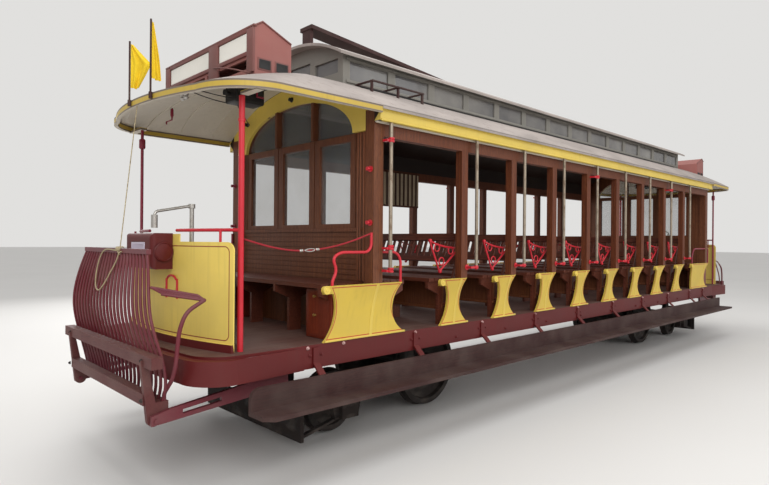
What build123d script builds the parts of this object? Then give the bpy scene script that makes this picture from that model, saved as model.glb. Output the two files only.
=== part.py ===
"""Twelve-bench open electric tram on two bogies.

The frame has X along the car with the sign-box end that carries the roof beam at -X,
Y across it and Z up. The origin is at the middle of the car on the rail plane.
All sizes are in millimetres.
"""
import os
from math import cos, radians, sin, sqrt, tan

from build123d import *

os.makedirs("parts", exist_ok=True)

# Benches and posts along the car
BENCH_PITCH = 787
POSTS_PER_SIDE = 8
END_BAY = 1045.5
POST_WIDTH = 87
POST_DEPTH = 70
POST_TOP = 2440
BODY_HALF = 1080
LAST_POST_X = (POSTS_PER_SIDE - 1) / 2 * BENCH_PITCH
POST_X = [-LAST_POST_X + i * BENCH_PITCH for i in range(POSTS_PER_SIDE)]
BULKHEAD_X = LAST_POST_X + END_BAY

# Floor, sills and platform
FLOOR_TOP = 875
FLOOR_THICK = 40
SILL_BOTTOM = 705
SILL_HALF = 990
SILL_THICK = 50
SEAT_LEVEL = 1298
PANEL_THICK = 22
SWEEP_IN = BODY_HALF - SILL_HALF
SWEEP_HEIGHT = SEAT_LEVEL - FLOOR_TOP
SWEEP_RADIUS = (SWEEP_HEIGHT**2 + SWEEP_IN**2) / (2 * SWEEP_IN)
PLATFORM_REACH = 5290
PLATFORM_START = 4450
CROWN_HEIGHT = 160
CROWN_TOP = FLOOR_TOP - 15
CENTRE_SILL_Y = 210

# Gauge, trucks and wheels
GAUGE = 900
KINGPIN_X = 3090
DRIVER_X = 2600
PONY_X = 3820
DRIVER_TREAD_RADIUS = 381
PONY_TREAD_RADIUS = 254
FLANGE_HEIGHT = 16
AXLE_RADIUS = 50
JOURNAL_RADIUS = 35
JOURNAL_CLEARANCE = 0.3
WHEEL_WIDTH = 90
FRAME_Y = 690
FRAME_THICK = 60
JOURNAL_END_Y = 745
CENTRE_PLATE_Z = 695
KINGPIN_RADIUS = 30
KINGPIN_CLEARANCE = 0.3

# Roof
LETTERBOARD_HALF = 1160
LETTERBOARD_BOTTOM = 2550
LETTERBOARD_TOP = 2655
DECK_HALF = 1180
DECK_RISE = 385
DECK_THICK = 25
CLERESTORY_HALF = 620
CLERESTORY_WALL = 30
CLERESTORY_WINDOWS = 14
UPPER_ROOF_HALF = 700
UPPER_ROOF_EDGE_Z = 3180
UPPER_ROOF_RISE = 185
UPPER_ROOF_THICK = 24
UPPER_ROOF_END_X = 3900
HOOD_START_X = BULKHEAD_X + 75
HOOD_THICK = 24
LIP_HEIGHT = 55

# Fender
FENDER_PIVOT_X = PLATFORM_REACH + 130
FENDER_PIVOT_Z = 500
FENDER_LEG_Y = 740
FENDER_BEAM_HALF = 890
FENDER_ROD_RADIUS = 10
FENDER_ROD_COUNT = 23

# Running boards
RISER_Y = 1085
RISER_THICK = 30
STEP_OUT_Y = 1310
STEP_TOP = 530
STEP_THICK = 28
BOARD_FRONT_X = -4950
BOARD_REAR_X = 4450

ENDS = {"front": -1, "rear": 1}
SIDES = {"right": -1, "left": 1}


def block(x0, x1, y0, y1, z0, z1, mode=Mode.ADD):
    """Add a box between two corners to the part that is being built."""
    with Locations(((x0 + x1) / 2, (y0 + y1) / 2, (z0 + z1) / 2)):
        return Box(abs(x1 - x0), abs(y1 - y0), abs(z1 - z0), mode=mode)


def side_profile(points, y0, y1, mode=Mode.ADD):
    """Extrude an outline of (x, z) points across the car from y0 to y1."""
    plane = Plane(origin=(0, min(y0, y1), 0), x_dir=(1, 0, 0), z_dir=(0, -1, 0))
    with BuildSketch(plane) as outline:
        with BuildLine():
            Polyline(*points, close=True)
        make_face()
    extrude(outline.sketch, amount=-abs(y1 - y0), mode=mode)


def cross_profile(points, x0, x1, mode=Mode.ADD):
    """Extrude an outline of (y, z) points along the car from x0 to x1."""
    plane = Plane(origin=(min(x0, x1), 0, 0), x_dir=(0, 1, 0), z_dir=(1, 0, 0))
    with BuildSketch(plane) as outline:
        with BuildLine():
            Polyline(*points, close=True)
        make_face()
    extrude(outline.sketch, amount=abs(x1 - x0), mode=mode)


def rod(start, end, radius, mode=Mode.ADD):
    """Add a round bar between two points."""
    axis = Vector(*end) - Vector(*start)
    plane = Plane(origin=start, z_dir=axis)
    with BuildSketch(plane) as section:
        Circle(radius)
    extrude(section.sketch, amount=axis.length, mode=mode)


def pipe(path, radius):
    """Sweep a round section along a path of runs and arcs."""
    with BuildSketch(Plane(origin=path @ 0, z_dir=path % 0)) as section:
        Circle(radius)
    sweep(section.sketch, path=path)


def arc_radii(points):
    """Bend radius for each inner point of a cord's route: 0.45 of the shorter run over tan(turn / 2)."""
    radii = []
    for before, here, after in zip(points, points[1:], points[2:]):
        run_in, run_out = Vector(*here) - Vector(*before), Vector(*after) - Vector(*here)
        turn = radians(run_in.get_angle(run_out))
        radii.append(0.45 * min(run_in.length, run_out.length) / tan(turn / 2))
    return radii


def cord_tube(points, radius):
    """Add a free cord's tube: straight runs through the points, joined by tangent arcs."""
    radii = arc_radii(points)
    print("cord radii", [round(r) for r in radii])
    with BuildLine(mode=Mode.PRIVATE) as route:
        FilletPolyline(*points, radius=radii)
    print("cord length", round(sum(edge.length for edge in route.edges())))
    pipe(route.line, radius)


def arch_z(y, half, base, rise):
    """Height of a circular arch over y, from its half width, base height and rise."""
    radius = (half**2 + rise**2) / (2 * rise)
    return base + rise - radius + sqrt(radius**2 - y**2)


def arch_body(half, base, rise, foot, x0, x1, mode=Mode.ADD):
    """Extrude the area under a circular arch, down to foot, from x0 to x1."""
    plane = Plane(origin=(min(x0, x1), 0, 0), x_dir=(0, 1, 0), z_dir=(1, 0, 0))
    with BuildSketch(plane) as outline:
        with BuildLine():
            ThreePointArc((-half, base), (0, base + rise), (half, base))
            Polyline((half, base), (half, foot), (-half, foot), (-half, base))
        make_face()
    extrude(outline.sketch, amount=abs(x1 - x0), mode=mode)


def sweep_y(z):
    """Half width of the car's swept-in side at a height between floor and seats."""
    return SILL_HALF + SWEEP_RADIUS - sqrt(SWEEP_RADIUS**2 - (z - FLOOR_TOP) ** 2)


def swept_post(x0, x1, side, depth, top):
    """Add a side post, straight above the seats and swept in to the sill below them."""
    plane = Plane(origin=(min(x0, x1), 0, 0), x_dir=(0, 1, 0), z_dir=(1, 0, 0))
    skin_y = PANEL_THICK
    middle_z = (SEAT_LEVEL + FLOOR_TOP) / 2
    with BuildSketch(plane) as outline:
        with BuildLine():
            Polyline((side * BODY_HALF, top), (side * BODY_HALF, SEAT_LEVEL),
                     (side * (BODY_HALF - skin_y), SEAT_LEVEL))
            ThreePointArc((side * (BODY_HALF - skin_y), SEAT_LEVEL),
                          (side * (sweep_y(middle_z) - skin_y), middle_z),
                          (side * (SILL_HALF - skin_y), FLOOR_TOP))
            Polyline((side * (SILL_HALF - skin_y), FLOOR_TOP),
                     (side * (SILL_HALF - SILL_THICK - 20), FLOOR_TOP),
                     (side * (BODY_HALF - depth), SEAT_LEVEL), (side * (BODY_HALF - depth), top),
                     (side * BODY_HALF, top))
        make_face()
    extrude(outline.sketch, amount=abs(x1 - x0))


def plan_face(sign, start, half, corner, front, scale_x=1.0, scale_y=1.0):
    """Draw a rounded end plan in the current sketch, from start out to front.

    corner is a list of (distance, y) on the near corner; the front is an arc over
    the centre line. Distances are taken from start and scaled with scale_x.
    """
    def point(distance, y):
        return (sign * (start + (distance - start) * scale_x), y * scale_y)

    side_end, corner_mid, front_end = corner
    with BuildLine() as rim:
        Line(point(start, -half), point(start, half))
        Line(point(start, half), point(*side_end))
        ThreePointArc(point(*side_end), point(*corner_mid), point(*front_end))
        ThreePointArc(point(*front_end), point(front, 0), point(front_end[0], -front_end[1]))
        ThreePointArc(point(front_end[0], -front_end[1]), point(corner_mid[0], -corner_mid[1]),
                      point(side_end[0], -side_end[1]))
        Line(point(side_end[0], -side_end[1]), point(start, -half))
    make_face(rim.edges())


# Corner points of the platform crown: (distance from the middle, y)
FLOOR_REACH = PLATFORM_REACH - 65
FLOOR_CORNER = [(PLATFORM_REACH - 330, SILL_HALF - 10), (PLATFORM_REACH - 160, SILL_HALF - 80),
                (PLATFORM_REACH - 90, SILL_HALF - 250)]
CROWN_CORNER = [(PLATFORM_REACH - 290, SILL_HALF + 50), (PLATFORM_REACH - 100, SILL_HALF - 30),
                (PLATFORM_REACH - 28, SILL_HALF - 230)]
HOOD_FRONT = PLATFORM_REACH - 10
HOOD_CORNER = [(HOOD_FRONT - 510, DECK_HALF - 30), (HOOD_FRONT - 240, DECK_HALF - 170),
               (HOOD_FRONT - 120, DECK_HALF - 440)]

# Underframe: side and centre sills, with the end sills, bolsters and crossbars framed between them
FIT = 0.3
FRAME_DECK = FLOOR_TOP - FLOOR_THICK
SILL_INSIDE = SILL_HALF - SILL_THICK
CENTRE_SILL_HALF = 20
CENTRE_SILL_BOTTOM = 720
END_SILL_THICK = 50
BOLSTER_HALF = 75
BOLSTER_BOTTOM = CENTRE_PLATE_Z + 8
CROSSBAR_X = (-1900, -900, 0, 900, 1900)
CROSSBAR_HALF = 30
CROSSBAR_BOTTOM = 740
CENTRE_PLATE_RADIUS = 110
end_sill_inside = PLATFORM_START - END_SILL_THICK
outer_span = (CENTRE_SILL_Y + CENTRE_SILL_HALF + FIT, SILL_INSIDE - FIT)
inner_half = CENTRE_SILL_Y - CENTRE_SILL_HALF - FIT
CROSS_SPANS = [(-outer_span[1], -outer_span[0]), (-inner_half, inner_half), outer_span]
with BuildPart() as underframe:
    for side in SIDES.values():
        block(-PLATFORM_START, PLATFORM_START, side * SILL_INSIDE, side * SILL_HALF, SILL_BOTTOM, FRAME_DECK)
        block(-end_sill_inside + FIT, end_sill_inside - FIT, side * (CENTRE_SILL_Y - CENTRE_SILL_HALF),
              side * (CENTRE_SILL_Y + CENTRE_SILL_HALF), CENTRE_SILL_BOTTOM, FRAME_DECK)
    for end in ENDS.values():
        block(end * end_sill_inside, end * PLATFORM_START, -SILL_INSIDE + FIT, SILL_INSIDE - FIT,
              SILL_BOTTOM, FRAME_DECK)
        for y0, y1 in CROSS_SPANS:
            block(end * (KINGPIN_X - BOLSTER_HALF), end * (KINGPIN_X + BOLSTER_HALF), y0, y1,
                  BOLSTER_BOTTOM, FRAME_DECK)
        with Locations((end * KINGPIN_X, 0, CENTRE_PLATE_Z + 4)):
            Cylinder(CENTRE_PLATE_RADIUS, 8)
        with Locations((end * KINGPIN_X, 0, CENTRE_PLATE_Z - 60)):
            Cylinder(KINGPIN_RADIUS, 130)
    for x in CROSSBAR_X:
        for y0, y1 in CROSS_SPANS:
            block(x - CROSSBAR_HALF, x + CROSSBAR_HALF, y0, y1, CROSSBAR_BOTTOM, FRAME_DECK)
underframe.part.label = "underframe"
export_step(underframe.part, "parts/underframe.step")

# Saloon floor between the bulkheads and the two platform floors in one deck
with BuildPart() as floor:
    block(-PLATFORM_START, PLATFORM_START, -SILL_HALF, SILL_HALF, FRAME_DECK, FLOOR_TOP)
    for end in ENDS.values():
        with BuildSketch(Plane.XY.offset(FRAME_DECK)) as plan:
            plan_face(end, PLATFORM_START, SILL_HALF, FLOOR_CORNER, FLOOR_REACH)
        extrude(plan.sketch, amount=FLOOR_THICK)
floor.part.label = "floor"
export_step(floor.part, "parts/floor.step")

# Curved crown pieces round the platforms
with BuildPart() as crowns:
    for end in ENDS.values():
        with BuildSketch(Plane.XY.offset(CROWN_TOP - CROWN_HEIGHT)) as plan:
            plan_face(end, PLATFORM_START, SILL_HALF, CROWN_CORNER, PLATFORM_REACH)
        extrude(plan.sketch, amount=CROWN_HEIGHT)
        with BuildSketch(Plane.XY.offset(CROWN_TOP - CROWN_HEIGHT)) as inner:
            plan_face(end, PLATFORM_START, SILL_HALF, FLOOR_CORNER, FLOOR_REACH)
        extrude(inner.sketch, amount=CROWN_HEIGHT, mode=Mode.SUBTRACT)
crowns.part.label = "platform_crowns"
export_step(crowns.part, "parts/platform_crowns.step")

# Dash sheets, curved in plan, with a raised middle that carries the lamp box
DASH_BOTTOM = FLOOR_TOP
DASH_TOP = 1610
DASH_CENTRE_TOP = 1665
DASH_HALF = 900
DASH_EDGE_X = PLATFORM_REACH - 330
DASH_FRONT_X = PLATFORM_REACH - 190
DASH_THICK = 8
DASH_CORNER = 60
DASH_CENTRE_HALF = 340
TOE_BOARD_TOP = 930
TOE_BOARD_THICK = 14
DASH_RADIUS = (DASH_HALF**2 + (DASH_FRONT_X - DASH_EDGE_X) ** 2) / (2 * (DASH_FRONT_X - DASH_EDGE_X))


def dash_x(y, clear=0.0):
    """Distance of the dash's outer face from the middle of the car at a given y."""
    return DASH_FRONT_X - DASH_RADIUS + sqrt((DASH_RADIUS + clear) ** 2 - y**2)


def dash_band(end, inner, outer, half, z0, z1, mode=Mode.ADD):
    """Add a curved band that follows the dash, between two offsets from its outer face."""
    with BuildSketch(Plane.XY.offset(z0)) as band:
        with BuildLine():
            ThreePointArc((end * dash_x(half, inner), -half), (end * dash_x(0, inner), 0),
                          (end * dash_x(half, inner), half))
            Line((end * dash_x(half, inner), half), (end * dash_x(half, outer), half))
            ThreePointArc((end * dash_x(half, outer), half), (end * dash_x(0, outer), 0),
                          (end * dash_x(half, outer), -half))
            Line((end * dash_x(half, outer), -half), (end * dash_x(half, inner), -half))
        make_face()
    extrude(band.sketch, amount=z1 - z0, mode=mode)


for name, end in ENDS.items():
    with BuildPart() as dash:
        dash_band(end, -DASH_THICK, 0, DASH_HALF, DASH_BOTTOM, DASH_TOP)
        across = Plane(origin=(end * DASH_EDGE_X - 100, 0, 0), x_dir=(0, 1, 0), z_dir=(1, 0, 0))
        with BuildSketch(across) as corners:
            for side in SIDES.values():
                with Locations((side * (DASH_HALF - DASH_CORNER / 2 + 1), DASH_TOP - DASH_CORNER / 2 + 1)):
                    Rectangle(DASH_CORNER + 2, DASH_CORNER + 2)
                with Locations((side * (DASH_HALF - DASH_CORNER), DASH_TOP - DASH_CORNER)):
                    Circle(DASH_CORNER, mode=Mode.SUBTRACT)
        extrude(corners.sketch, amount=200, mode=Mode.SUBTRACT)
        dash_band(end, -DASH_THICK, 0, DASH_CENTRE_HALF, DASH_TOP, DASH_CENTRE_TOP)
        dash_band(end, 0, TOE_BOARD_THICK, DASH_HALF, DASH_BOTTOM, TOE_BOARD_TOP)
    dash.part.label = f"{name}_dash"
    export_step(dash.part, f"parts/{name}_dash.step")

# Lamp boxes on the dashes, with a round cover on each side
LAMP_HALF = 250
LAMP_FRONT_X = PLATFORM_REACH - 45
LAMP_COVER_X = LAMP_FRONT_X - 85
LAMP_COVER_Z = 1535
LAMP_COVER_RADIUS = 62
LAMP_COVER_THICK = 14
LAMP_EDGE = 34
LAMP_WINDOW_HALF = 130
LAMP_WINDOW_Z = (1505, 1605)
LAMP_WINDOW_DEPTH = 6
LAMP_BOTTOM = 1410
LAMP_TOP = 1690
with BuildPart() as lamps:
    for end in ENDS.values():
        with BuildSketch(Plane.XY.offset(LAMP_BOTTOM)) as plan:
            with BuildLine():
                ThreePointArc((end * (dash_x(LAMP_HALF) + 0.3), -LAMP_HALF), (end * (dash_x(0) + 0.3), 0),
                              (end * (dash_x(LAMP_HALF) + 0.3), LAMP_HALF))
                Polyline((end * (dash_x(LAMP_HALF) + 0.3), LAMP_HALF), (end * LAMP_FRONT_X, LAMP_HALF),
                         (end * LAMP_FRONT_X, -LAMP_HALF), (end * (dash_x(LAMP_HALF) + 0.3), -LAMP_HALF))
            make_face()
        extrude(plan.sketch, amount=LAMP_TOP - LAMP_BOTTOM - 20)
        front = lamps.faces().filter_by(Axis.X).sort_by(Axis.X)[0 if end < 0 else -1]
        fillet(front.edges(), LAMP_EDGE)
        block(end * (LAMP_FRONT_X - LAMP_WINDOW_DEPTH), end * (LAMP_FRONT_X + 1), -LAMP_WINDOW_HALF,
              LAMP_WINDOW_HALF, *LAMP_WINDOW_Z, mode=Mode.SUBTRACT)
        for side in SIDES.values():
            rod((end * LAMP_COVER_X, side * LAMP_HALF, LAMP_COVER_Z),
                (end * LAMP_COVER_X, side * (LAMP_HALF + LAMP_COVER_THICK), LAMP_COVER_Z), LAMP_COVER_RADIUS)
lamps.part.label = "lamp_boxes"
export_step(lamps.part, "parts/lamp_boxes.step")

# Controllers and hand-brake columns stand on the platform floors
CONTROLLER_X = PLATFORM_REACH - 412
CONTROLLER_Y = 460
CONTROLLER_TOP = 1530
CONTROLLER_LID = 30
with BuildPart() as controllers:
    for end in ENDS.values():
        x, y, lid = end * CONTROLLER_X, end * CONTROLLER_Y, CONTROLLER_TOP + CONTROLLER_LID
        block(x - 107, x + 107, y - 130, y + 130, FLOOR_TOP, CONTROLLER_TOP)
        rod((x, y, CONTROLLER_TOP), (x, y, lid), 95)
        rod((x, y, lid), (x, y, lid + 30), 16)
controllers.part.label = "controllers"
export_step(controllers.part, "parts/controllers.step")

BRAKE_X = PLATFORM_REACH - 460
BRAKE_TOP = 1890
with BuildPart() as brakes:
    for end in ENDS.values():
        rod((end * BRAKE_X, 0, FLOOR_TOP), (end * BRAKE_X, 0, FLOOR_TOP + 30), 55)
        rod((end * BRAKE_X, 0, FLOOR_TOP + 30), (end * BRAKE_X, 0, BRAKE_TOP), 17)
        rod((end * BRAKE_X, 0, BRAKE_TOP - 20), (end * BRAKE_X, 0, BRAKE_TOP + 15), 26)
        with BuildLine() as arm:
            FilletPolyline((end * (BRAKE_X + 10), 0, BRAKE_TOP), (end * (BRAKE_X + 290), 0, BRAKE_TOP - 55),
                           (end * (BRAKE_X + 295), 0, BRAKE_TOP - 110), radius=30)
        with BuildSketch(Plane(origin=arm.line @ 0, z_dir=arm.line % 0)) as section:
            Circle(11)
        sweep(section.sketch, path=arm.line)
        rod((end * (BRAKE_X + 295), 0, BRAKE_TOP - 80), (end * (BRAKE_X + 295), 0, BRAKE_TOP - 178), 24)
brakes.part.label = "brake_columns"
export_step(brakes.part, "parts/brake_columns.step")

# Bulkheads: corner posts, panelling, three windows and a glazed arch over them
WALL_THICK = 50
CORNER_POST_WIDTH = 100
WINDOW_CENTRES_Y = (-560, 0, 560)
WINDOW_HALF = 205
WINDOW_SILL = 1765
TRANSOM_BOTTOM = 2432
TRANSOM_TOP = 2490
ARCH_HALF = 822
ARCH_RISE = 355
MULLION_Y = 283
MULLION_WIDTH = 34
SILL_RAIL = (1700, 1728)
SILL_RAIL_DEPTH = 16
SASH_GROOVE = 9
WAINSCOT_HALF = 925
WAINSCOT_PITCH = 44
WAINSCOT_BOARDS = 9
WAINSCOT_GROOVE = 6
ARCH_BOARD_HALF = 1066
ARCH_BOARD_GAP = 3
WALL_FACE = WALL_THICK / 2
ARCH_BOARD_THICK = HOOD_START_X - FIT - (BULKHEAD_X + 20 + WALL_FACE)
CORNER_FACE = BULKHEAD_X + 75
CORNER_BACK = BULKHEAD_X - 25


def deck_under(y):
    """Height of the deck's underside over y."""
    return arch_z(y, DECK_HALF, LETTERBOARD_TOP - DECK_THICK, DECK_RISE)


def fan_opening(x, depth, mode):
    """Add or cut the half-round fan light, in three panes between two mullions."""
    plane = Plane(origin=(x, 0, TRANSOM_TOP), x_dir=(0, 1, 0), z_dir=(1, 0, 0))
    with BuildSketch(plane) as fan:
        Ellipse(ARCH_HALF, ARCH_RISE)
        with Locations((0, -ARCH_RISE)):
            Rectangle(2 * ARCH_HALF + 2, 2 * ARCH_RISE, mode=Mode.SUBTRACT)
        for side in SIDES.values():
            with Locations((side * MULLION_Y, ARCH_RISE / 2)):
                Rectangle(MULLION_WIDTH, ARCH_RISE + 2, mode=Mode.SUBTRACT)
    extrude(fan.sketch, amount=depth, mode=mode)


for name, end in ENDS.items():
    with BuildPart() as bulkhead:
        x0, x1 = end * (BULKHEAD_X + 20 - WALL_FACE), end * (BULKHEAD_X + 20 + WALL_FACE)
        arch_body(DECK_HALF, LETTERBOARD_TOP - DECK_THICK, DECK_RISE, FLOOR_TOP, x0, x1)
        for side in SIDES.values():
            block(x0, x1, side * (BODY_HALF - 20), side * (DECK_HALF + 20), FLOOR_TOP, LETTERBOARD_TOP + 45,
                  mode=Mode.SUBTRACT)
            block(x0, x1, side * (SILL_HALF - SILL_THICK), side * DECK_HALF, FLOOR_TOP, SEAT_LEVEL,
                  mode=Mode.SUBTRACT)
        for centre in WINDOW_CENTRES_Y:
            block(x0, x1, centre - WINDOW_HALF, centre + WINDOW_HALF, WINDOW_SILL, TRANSOM_BOTTOM,
                  mode=Mode.SUBTRACT)
        for board in range(WAINSCOT_BOARDS):
            groove_z = SILL_RAIL[0] - (board + 1) * WAINSCOT_PITCH
            block(x1, x1 - end * WAINSCOT_GROOVE, -WAINSCOT_HALF, WAINSCOT_HALF, groove_z - 4, groove_z + 4,
                  mode=Mode.SUBTRACT)
        for edge_y in (-ARCH_HALF - 12, -MULLION_Y, MULLION_Y, ARCH_HALF + 12):
            block(x1, x1 - end * SASH_GROOVE, edge_y - 5, edge_y + 5, SILL_RAIL[1], TRANSOM_TOP,
                  mode=Mode.SUBTRACT)
        block(x1, x1 + end * SILL_RAIL_DEPTH, -WAINSCOT_HALF, WAINSCOT_HALF, *SILL_RAIL)
        arch_body(DECK_HALF, LETTERBOARD_TOP - DECK_THICK - ARCH_BOARD_GAP, DECK_RISE, TRANSOM_TOP,
                  x1, x1 + end * ARCH_BOARD_THICK)
        for side in SIDES.values():
            block(x1, x1 + end * (ARCH_BOARD_THICK + 1), side * ARCH_BOARD_HALF,
                  side * (DECK_HALF + 20), TRANSOM_TOP - 1, LETTERBOARD_TOP + 145, mode=Mode.SUBTRACT)
            swept_post(end * CORNER_BACK, end * CORNER_FACE, side, CORNER_POST_WIDTH, LETTERBOARD_TOP - 10)
        for x_from, x_to in ((x0, x1), (x1, x1 + end * (ARCH_BOARD_THICK + 1))):
            fan_opening(min(x_from, x_to), abs(x_to - x_from), Mode.SUBTRACT)
    bulkhead.part.label = f"{name}_bulkhead"
    export_step(bulkhead.part, f"parts/{name}_bulkhead.step")

GLASS_THICK = 5
with BuildPart() as bulkhead_glass:
    for end in ENDS.values():
        middle = end * (BULKHEAD_X + 20)
        for centre in WINDOW_CENTRES_Y:
            block(middle - GLASS_THICK / 2, middle + GLASS_THICK / 2, centre - WINDOW_HALF,
                  centre + WINDOW_HALF, WINDOW_SILL, TRANSOM_BOTTOM)
        fan_opening(middle - GLASS_THICK / 2, GLASS_THICK, Mode.ADD)
bulkhead_glass.part.label = "bulkhead_glass"
export_step(bulkhead_glass.part, "parts/bulkhead_glass.step")

# Side posts, straight above the seats and swept in to the sill below them
for name, side in SIDES.items():
    with BuildPart() as post:
        swept_post(-POST_WIDTH / 2, POST_WIDTH / 2, side, POST_DEPTH, POST_TOP)
    with BuildPart() as posts:
        with Locations(*[(x, 0, 0) for x in POST_X]):
            add(post.part)
    posts.part.label = f"{name}_posts"
    export_step(posts.part, f"parts/{name}_posts.step")

# Side plates on the posts and the letterboards over them
with BuildPart() as side_plates:
    for side in SIDES.values():
        block(-BULKHEAD_X + 25, BULKHEAD_X - 25, side * (BODY_HALF - POST_DEPTH), side * BODY_HALF,
              POST_TOP, LETTERBOARD_BOTTOM)
side_plates.part.label = "side_plates"
export_step(side_plates.part, "parts/side_plates.step")

with BuildPart() as letterboards:
    for side in SIDES.values():
        cross_profile([(side * (BODY_HALF - POST_DEPTH), LETTERBOARD_BOTTOM),
                       (side * (LETTERBOARD_HALF - 10), LETTERBOARD_BOTTOM),
                       (side * (LETTERBOARD_HALF - 10), LETTERBOARD_TOP - 30),
                       (side * LETTERBOARD_HALF, LETTERBOARD_TOP - 25),
                       (side * LETTERBOARD_HALF, deck_under(LETTERBOARD_HALF) - 0.3),
                       (side * (BODY_HALF - POST_DEPTH), deck_under(BODY_HALF - POST_DEPTH) - 0.3)],
                      -HOOD_START_X, HOOD_START_X)
        for end in ENDS.values():
            block(end * (BULKHEAD_X - 25), end * (BULKHEAD_X + 75), side * 1000, side * BODY_HALF,
                  LETTERBOARD_BOTTOM - 1, LETTERBOARD_TOP + 120, mode=Mode.SUBTRACT)
letterboards.part.label = "letterboards"
export_step(letterboards.part, "parts/letterboards.step")

# Seat ends: curved sheets with a rolled scroll, swept in like the posts that they cover
PANEL_TOP_FRONT = -350
PANEL_BOTTOM_FRONT = -270
PANEL_BOTTOM_REAR = 130
PANEL_WAIST = 170
SCROLL_RADIUS = 28
PANEL_BASE = FLOOR_TOP


def seat_end(side, top_front, top_rear, bottom_front, bottom_rear, waist_front, waist_rear):
    """Add one seat end: its outline in x and z, cut from a sheet that sweeps in to the sill."""
    plane = Plane(origin=(min(top_front, bottom_front) - 60, 0, 0), x_dir=(0, 1, 0), z_dir=(1, 0, 0))
    length = max(top_rear, bottom_rear) + 60 - min(top_front, bottom_front) + 60
    middle_z = (SEAT_LEVEL + PANEL_BASE) / 2
    inner = PANEL_THICK
    with BuildSketch(plane, mode=Mode.PRIVATE) as ribbon:
        with BuildLine():
            ThreePointArc((side * BODY_HALF, SEAT_LEVEL), (side * sweep_y(middle_z), middle_z),
                          (side * SILL_HALF, PANEL_BASE))
            Line((side * SILL_HALF, PANEL_BASE), (side * (SILL_HALF - inner), PANEL_BASE))
            ThreePointArc((side * (SILL_HALF - inner), PANEL_BASE),
                          (side * (sweep_y(middle_z) - inner), middle_z),
                          (side * (BODY_HALF - inner), SEAT_LEVEL))
            Line((side * (BODY_HALF - inner), SEAT_LEVEL), (side * BODY_HALF, SEAT_LEVEL))
        make_face()
    sheet = extrude(ribbon.sketch, amount=length, mode=Mode.PRIVATE)
    front = Plane(origin=(0, -1200, 0), x_dir=(1, 0, 0), z_dir=(0, -1, 0))
    waist_z = PANEL_BASE + 0.42 * (SEAT_LEVEL - PANEL_BASE)
    with BuildSketch(front, mode=Mode.PRIVATE) as outline:
        with BuildLine():
            Line((top_front, SEAT_LEVEL), (top_rear, SEAT_LEVEL))
            ThreePointArc((top_rear, SEAT_LEVEL), (waist_rear, waist_z), (bottom_rear, PANEL_BASE))
            Line((bottom_rear, PANEL_BASE), (bottom_front, PANEL_BASE))
            ThreePointArc((bottom_front, PANEL_BASE), (waist_front, waist_z),
                          (top_front + 90, SEAT_LEVEL - 60))
            Line((top_front + 90, SEAT_LEVEL - 60), (top_front, SEAT_LEVEL - 60))
            Line((top_front, SEAT_LEVEL - 60), (top_front, SEAT_LEVEL))
        make_face()
    cutter = extrude(outline.sketch, amount=-2400, mode=Mode.PRIVATE)
    add(sheet & cutter)
    roll_z = SEAT_LEVEL - SCROLL_RADIUS
    roll_y = BODY_HALF - PANEL_THICK
    rod((top_front + 4, side * (roll_y - 4), roll_z), (top_front + 4, side * BODY_HALF, roll_z),
        SCROLL_RADIUS)


REAR_FACE = POST_WIDTH / 2
# Wide seat ends at the bulkheads: x of top front and rear, bottom front and rear, waist front and rear
WIDE_ENDS = [(-4330, -3550, -4280, -3420, -4190, -3590), (3130, 3950, 3370, 4140, 3330, 3950)]
for name, side in SIDES.items():
    with BuildPart() as single_end:
        seat_end(side, REAR_FACE + PANEL_TOP_FRONT, REAR_FACE, REAR_FACE + PANEL_BOTTOM_FRONT,
                 REAR_FACE + PANEL_BOTTOM_REAR, REAR_FACE - 190, REAR_FACE - 20)
    with BuildPart() as seat_ends:
        for outline in WIDE_ENDS:
            seat_end(side, *outline)
        with Locations(*[(x, 0, 0) for x in POST_X]):
            add(single_end.part)
    seat_ends.part.label = f"{name}_seat_ends"
    export_step(seat_ends.part, f"parts/{name}_seat_ends.step")

# Benches: slatted seats on end boards and centre legs between the seat ends
SEAT_THICK = 32
SEAT_HALF_Y = 930
SLATS_PER_SEAT = 5
SLAT_WIDTH = 72
SLAT_PITCH = 82
BENCH_LEG_Y = (-900, -300, 300, 900)
BENCH_LEG_THICK = 30
BACK_PIVOT_Z = 1060
BACK_ARM_Y = 960
PIVOT_RADIUS = 10
PIVOT_CLEARANCE = 0.3
SEAT_CENTRE = [x + REAR_FACE - 150 for x in POST_X]
WALL_SEAT_CENTRE = [end * (BULKHEAD_X + 20 + way * (WALL_FACE + 214)) for end in (-1, 1) for way in (-1, 1)]
with BuildPart() as bench:
    with BuildSketch(Plane.XY.offset(SEAT_LEVEL - SEAT_THICK)) as slats:
        with GridLocations(SLAT_PITCH, 0, SLATS_PER_SEAT, 1):
            Rectangle(SLAT_WIDTH, 2 * SEAT_HALF_Y)
    extrude(amount=SEAT_THICK)
    for y in BENCH_LEG_Y:
        side_profile([(-200, SEAT_LEVEL - SEAT_THICK), (200, SEAT_LEVEL - SEAT_THICK),
                      (200, SEAT_LEVEL - 90), (60, SEAT_LEVEL - 150), (60, FLOOR_TOP),
                      (-60, FLOOR_TOP), (-60, SEAT_LEVEL - 150), (-200, SEAT_LEVEL - 90)],
                     y - BENCH_LEG_THICK / 2, y + BENCH_LEG_THICK / 2)
with BuildPart() as pinned_bench:
    add(bench.part)
    for side in SIDES.values():
        rod((0, side * BENCH_LEG_Y[-1], BACK_PIVOT_Z), (0, side * (BACK_ARM_Y + 14), BACK_PIVOT_Z),
            PIVOT_RADIUS)
with BuildPart() as benches:
    with Locations(*[(x, 0, 0) for x in SEAT_CENTRE]):
        add(pinned_bench.part)
    with Locations(*[(x, 0, 0) for x in WALL_SEAT_CENTRE]):
        add(bench.part)
benches.part.label = "benches"
export_step(benches.part, "parts/benches.step")

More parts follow.
